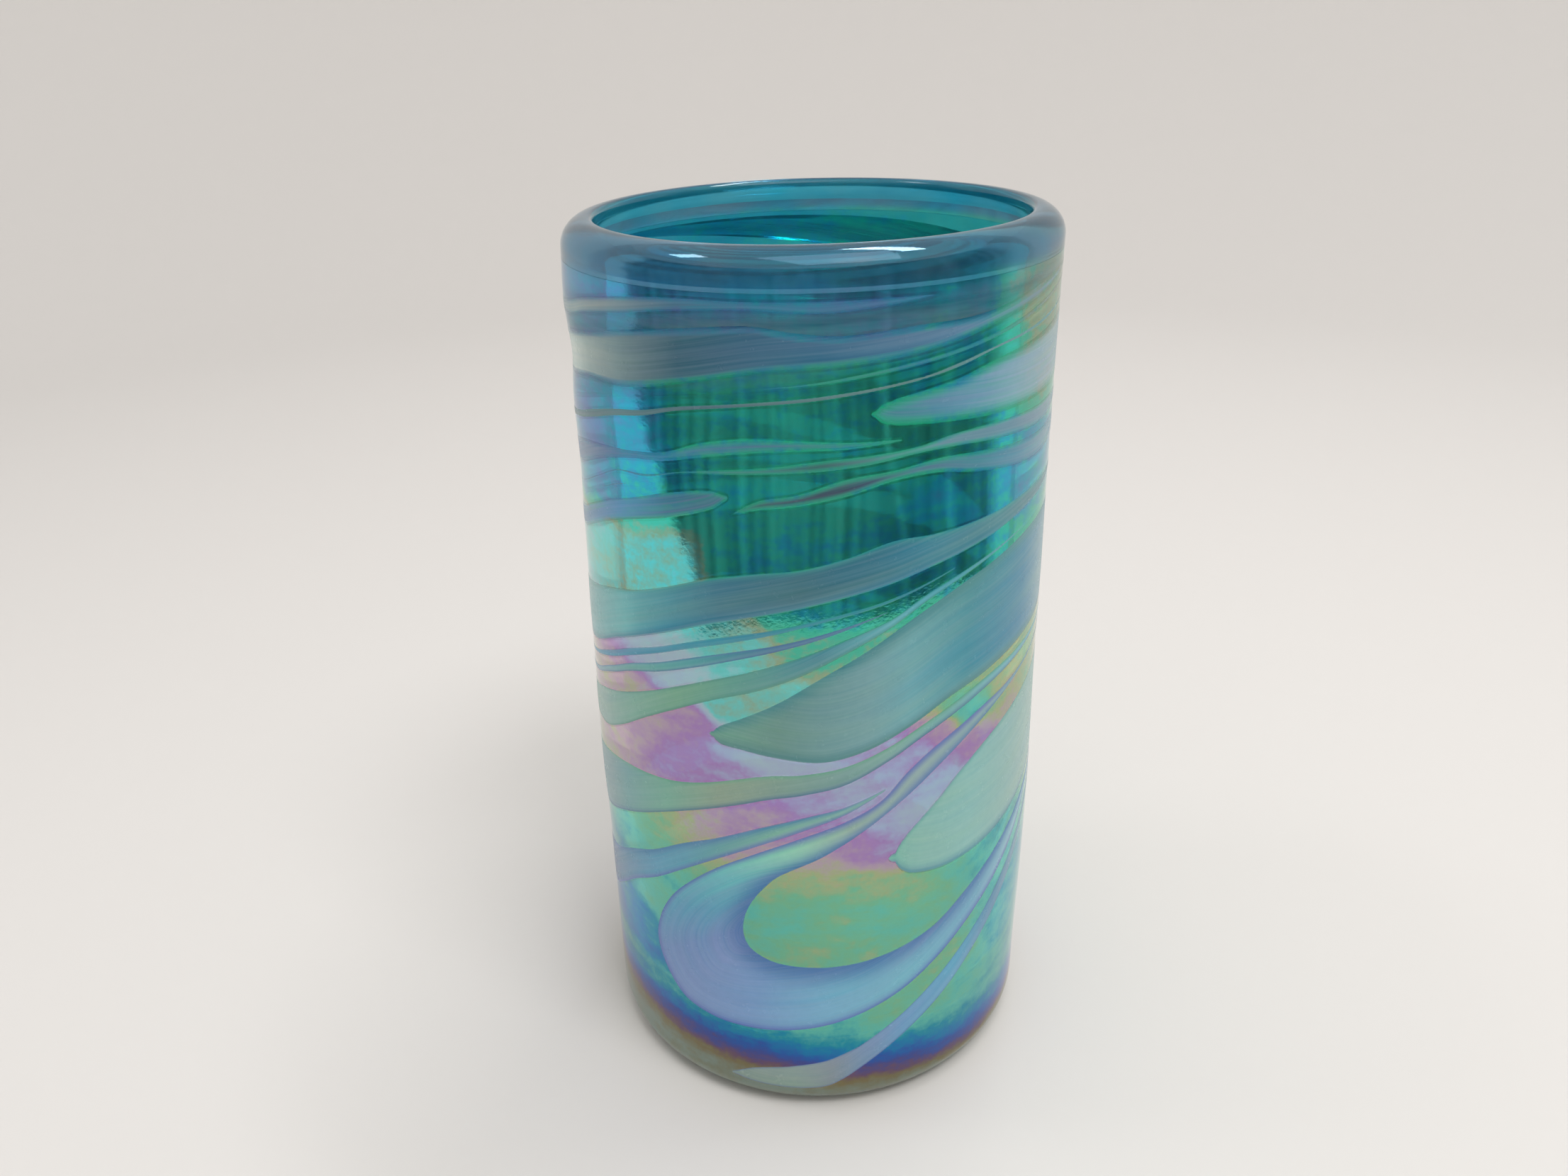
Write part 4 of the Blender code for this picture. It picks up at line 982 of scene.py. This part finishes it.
def make_room():
    """The dark side of the studio behind the camera. Only reflections show it, with dim openings in it."""
    turns = np.arange(PANEL_FROM, PANEL_TO + 1.0, 1.0)
    heights = np.concatenate([np.linspace(ROOM_LOW, -0.43, 6), np.linspace(-0.42, 0.0, 141),
                              np.linspace(0.02, ROOM_HIGH, 8)])
    places, tones = [], []
    azimuths, levels = zip(*ROOM_TONES)
    for height in heights:
        sway = float(np.interp(height, ROOM_EDGE_HEIGHTS, ROOM_EDGE_SHIFTS))
        sway += 7.0 * noise.noise(Vector((height * 30.0, 3.0, 1.0))) + 4.0 * noise.noise(Vector((height * 110.0, 5.0, 2.0)))
        for turn in turns:
            way = math.radians(turn)
            places.append((ROOM_DISTANCE * math.sin(way), -ROOM_DISTANCE * math.cos(way), height))
            share = (ROOM_TO - turn) / (ROOM_TO - ROOM_FROM)
            level = float(np.interp(turn - sway * share, azimuths, levels))
            streak = noise.noise(Vector((turn * 0.30, height * 2.0, 7.0)))
            tones.append(level * (1.0 + 0.8 * streak) if level < 0.4 else level)
    count = len(turns)
    faces = [(row * count + step, row * count + step + 1, (row + 1) * count + step + 1, (row + 1) * count + step)
             for row in range(len(heights) - 1) for step in range(count - 1)]
    made = bpy.data.materials.new("room_dark")
    made.use_nodes = True
    made.cycles.emission_sampling = "NONE"
    tree = made.node_tree
    tree.nodes.clear()
    tone = node(tree, "ShaderNodeAttribute", attribute_name="tone").outputs["Fac"]
    light = node(tree, "ShaderNodeEmission", Color=(*ROOM_COLOUR, 1.0))
    link(tree, tone, light.inputs["Strength"])
    link(tree, light.outputs["Emission"], node(tree, "ShaderNodeOutputMaterial").inputs["Surface"])
    room = piece_from("room_dark", np.array(places), faces, [made])
    keep("tone", room.data, "FLOAT", tones)
    for kind in ("camera", "diffuse", "transmission", "shadow", "volume_scatter"):
        setattr(room, "visible_" + kind, False)


def lamp(name, place, aim, size, power, colour=(1.0, 1.0, 1.0)):
    data = bpy.data.lights.new(name, "AREA")
    data.shape = "RECTANGLE"
    data.size, data.size_y = size
    data.energy = power
    data.color = colour
    made = bpy.data.objects.new(name, data)
    made.location = place
    made.rotation_euler = (Vector(aim) - Vector(place)).to_track_quat("-Z", "Y").to_euler()
    bpy.context.scene.collection.objects.link(made)
    return made


def make_light():
    world = bpy.data.worlds.new("studio")
    bpy.context.scene.world = world
    world.use_nodes = True
    sky = world.node_tree.nodes["Background"]
    sky.inputs["Color"].default_value = (1.0, 0.995, 0.985, 1.0)
    sky.inputs["Strength"].default_value = 0.67
    key = lamp("key", (0.30, -0.42, 0.95), (0, 0, 0.10), (0.42, 0.30), 3.2)
    key.visible_glossy = False
    lamp("lip_strip", (0.26, 0.20, 0.95), (0, 0, 0.10), (0.46, 0.10), 1.6)
    lamp("overhead", (0.08, -0.20, 0.7), (0, 0, 0.05), (0.4, 0.4), 0.5)
    lamp("fill_left", (-0.38, 0.02, 0.72), (0, 0, 0.10), (0.12, 0.12), 0.25)


CAMERA_PLACE = (-0.0045, -0.1940, 0.1770)
CAMERA_PITCH = 25.48
CAMERA_ROLL = 1.741
CAMERA_LENS = 27.67


def make_camera():
    data = bpy.data.cameras.new("camera")
    data.lens = CAMERA_LENS
    data.sensor_width = 36.0
    data.clip_start = 0.01
    made = bpy.data.objects.new("camera", data)
    tilt = Matrix.Rotation(math.radians(90.0 - CAMERA_PITCH), 4, "X")
    roll = Matrix.Rotation(math.radians(-CAMERA_ROLL), 4, "Z")
    made.matrix_world = Matrix.Translation(CAMERA_PLACE) @ tilt @ roll
    bpy.context.scene.collection.objects.link(made)
    bpy.context.scene.camera = made


make_floor()
make_room()
make_light()
make_camera()
bpy.context.scene.view_settings.view_transform = "Standard"
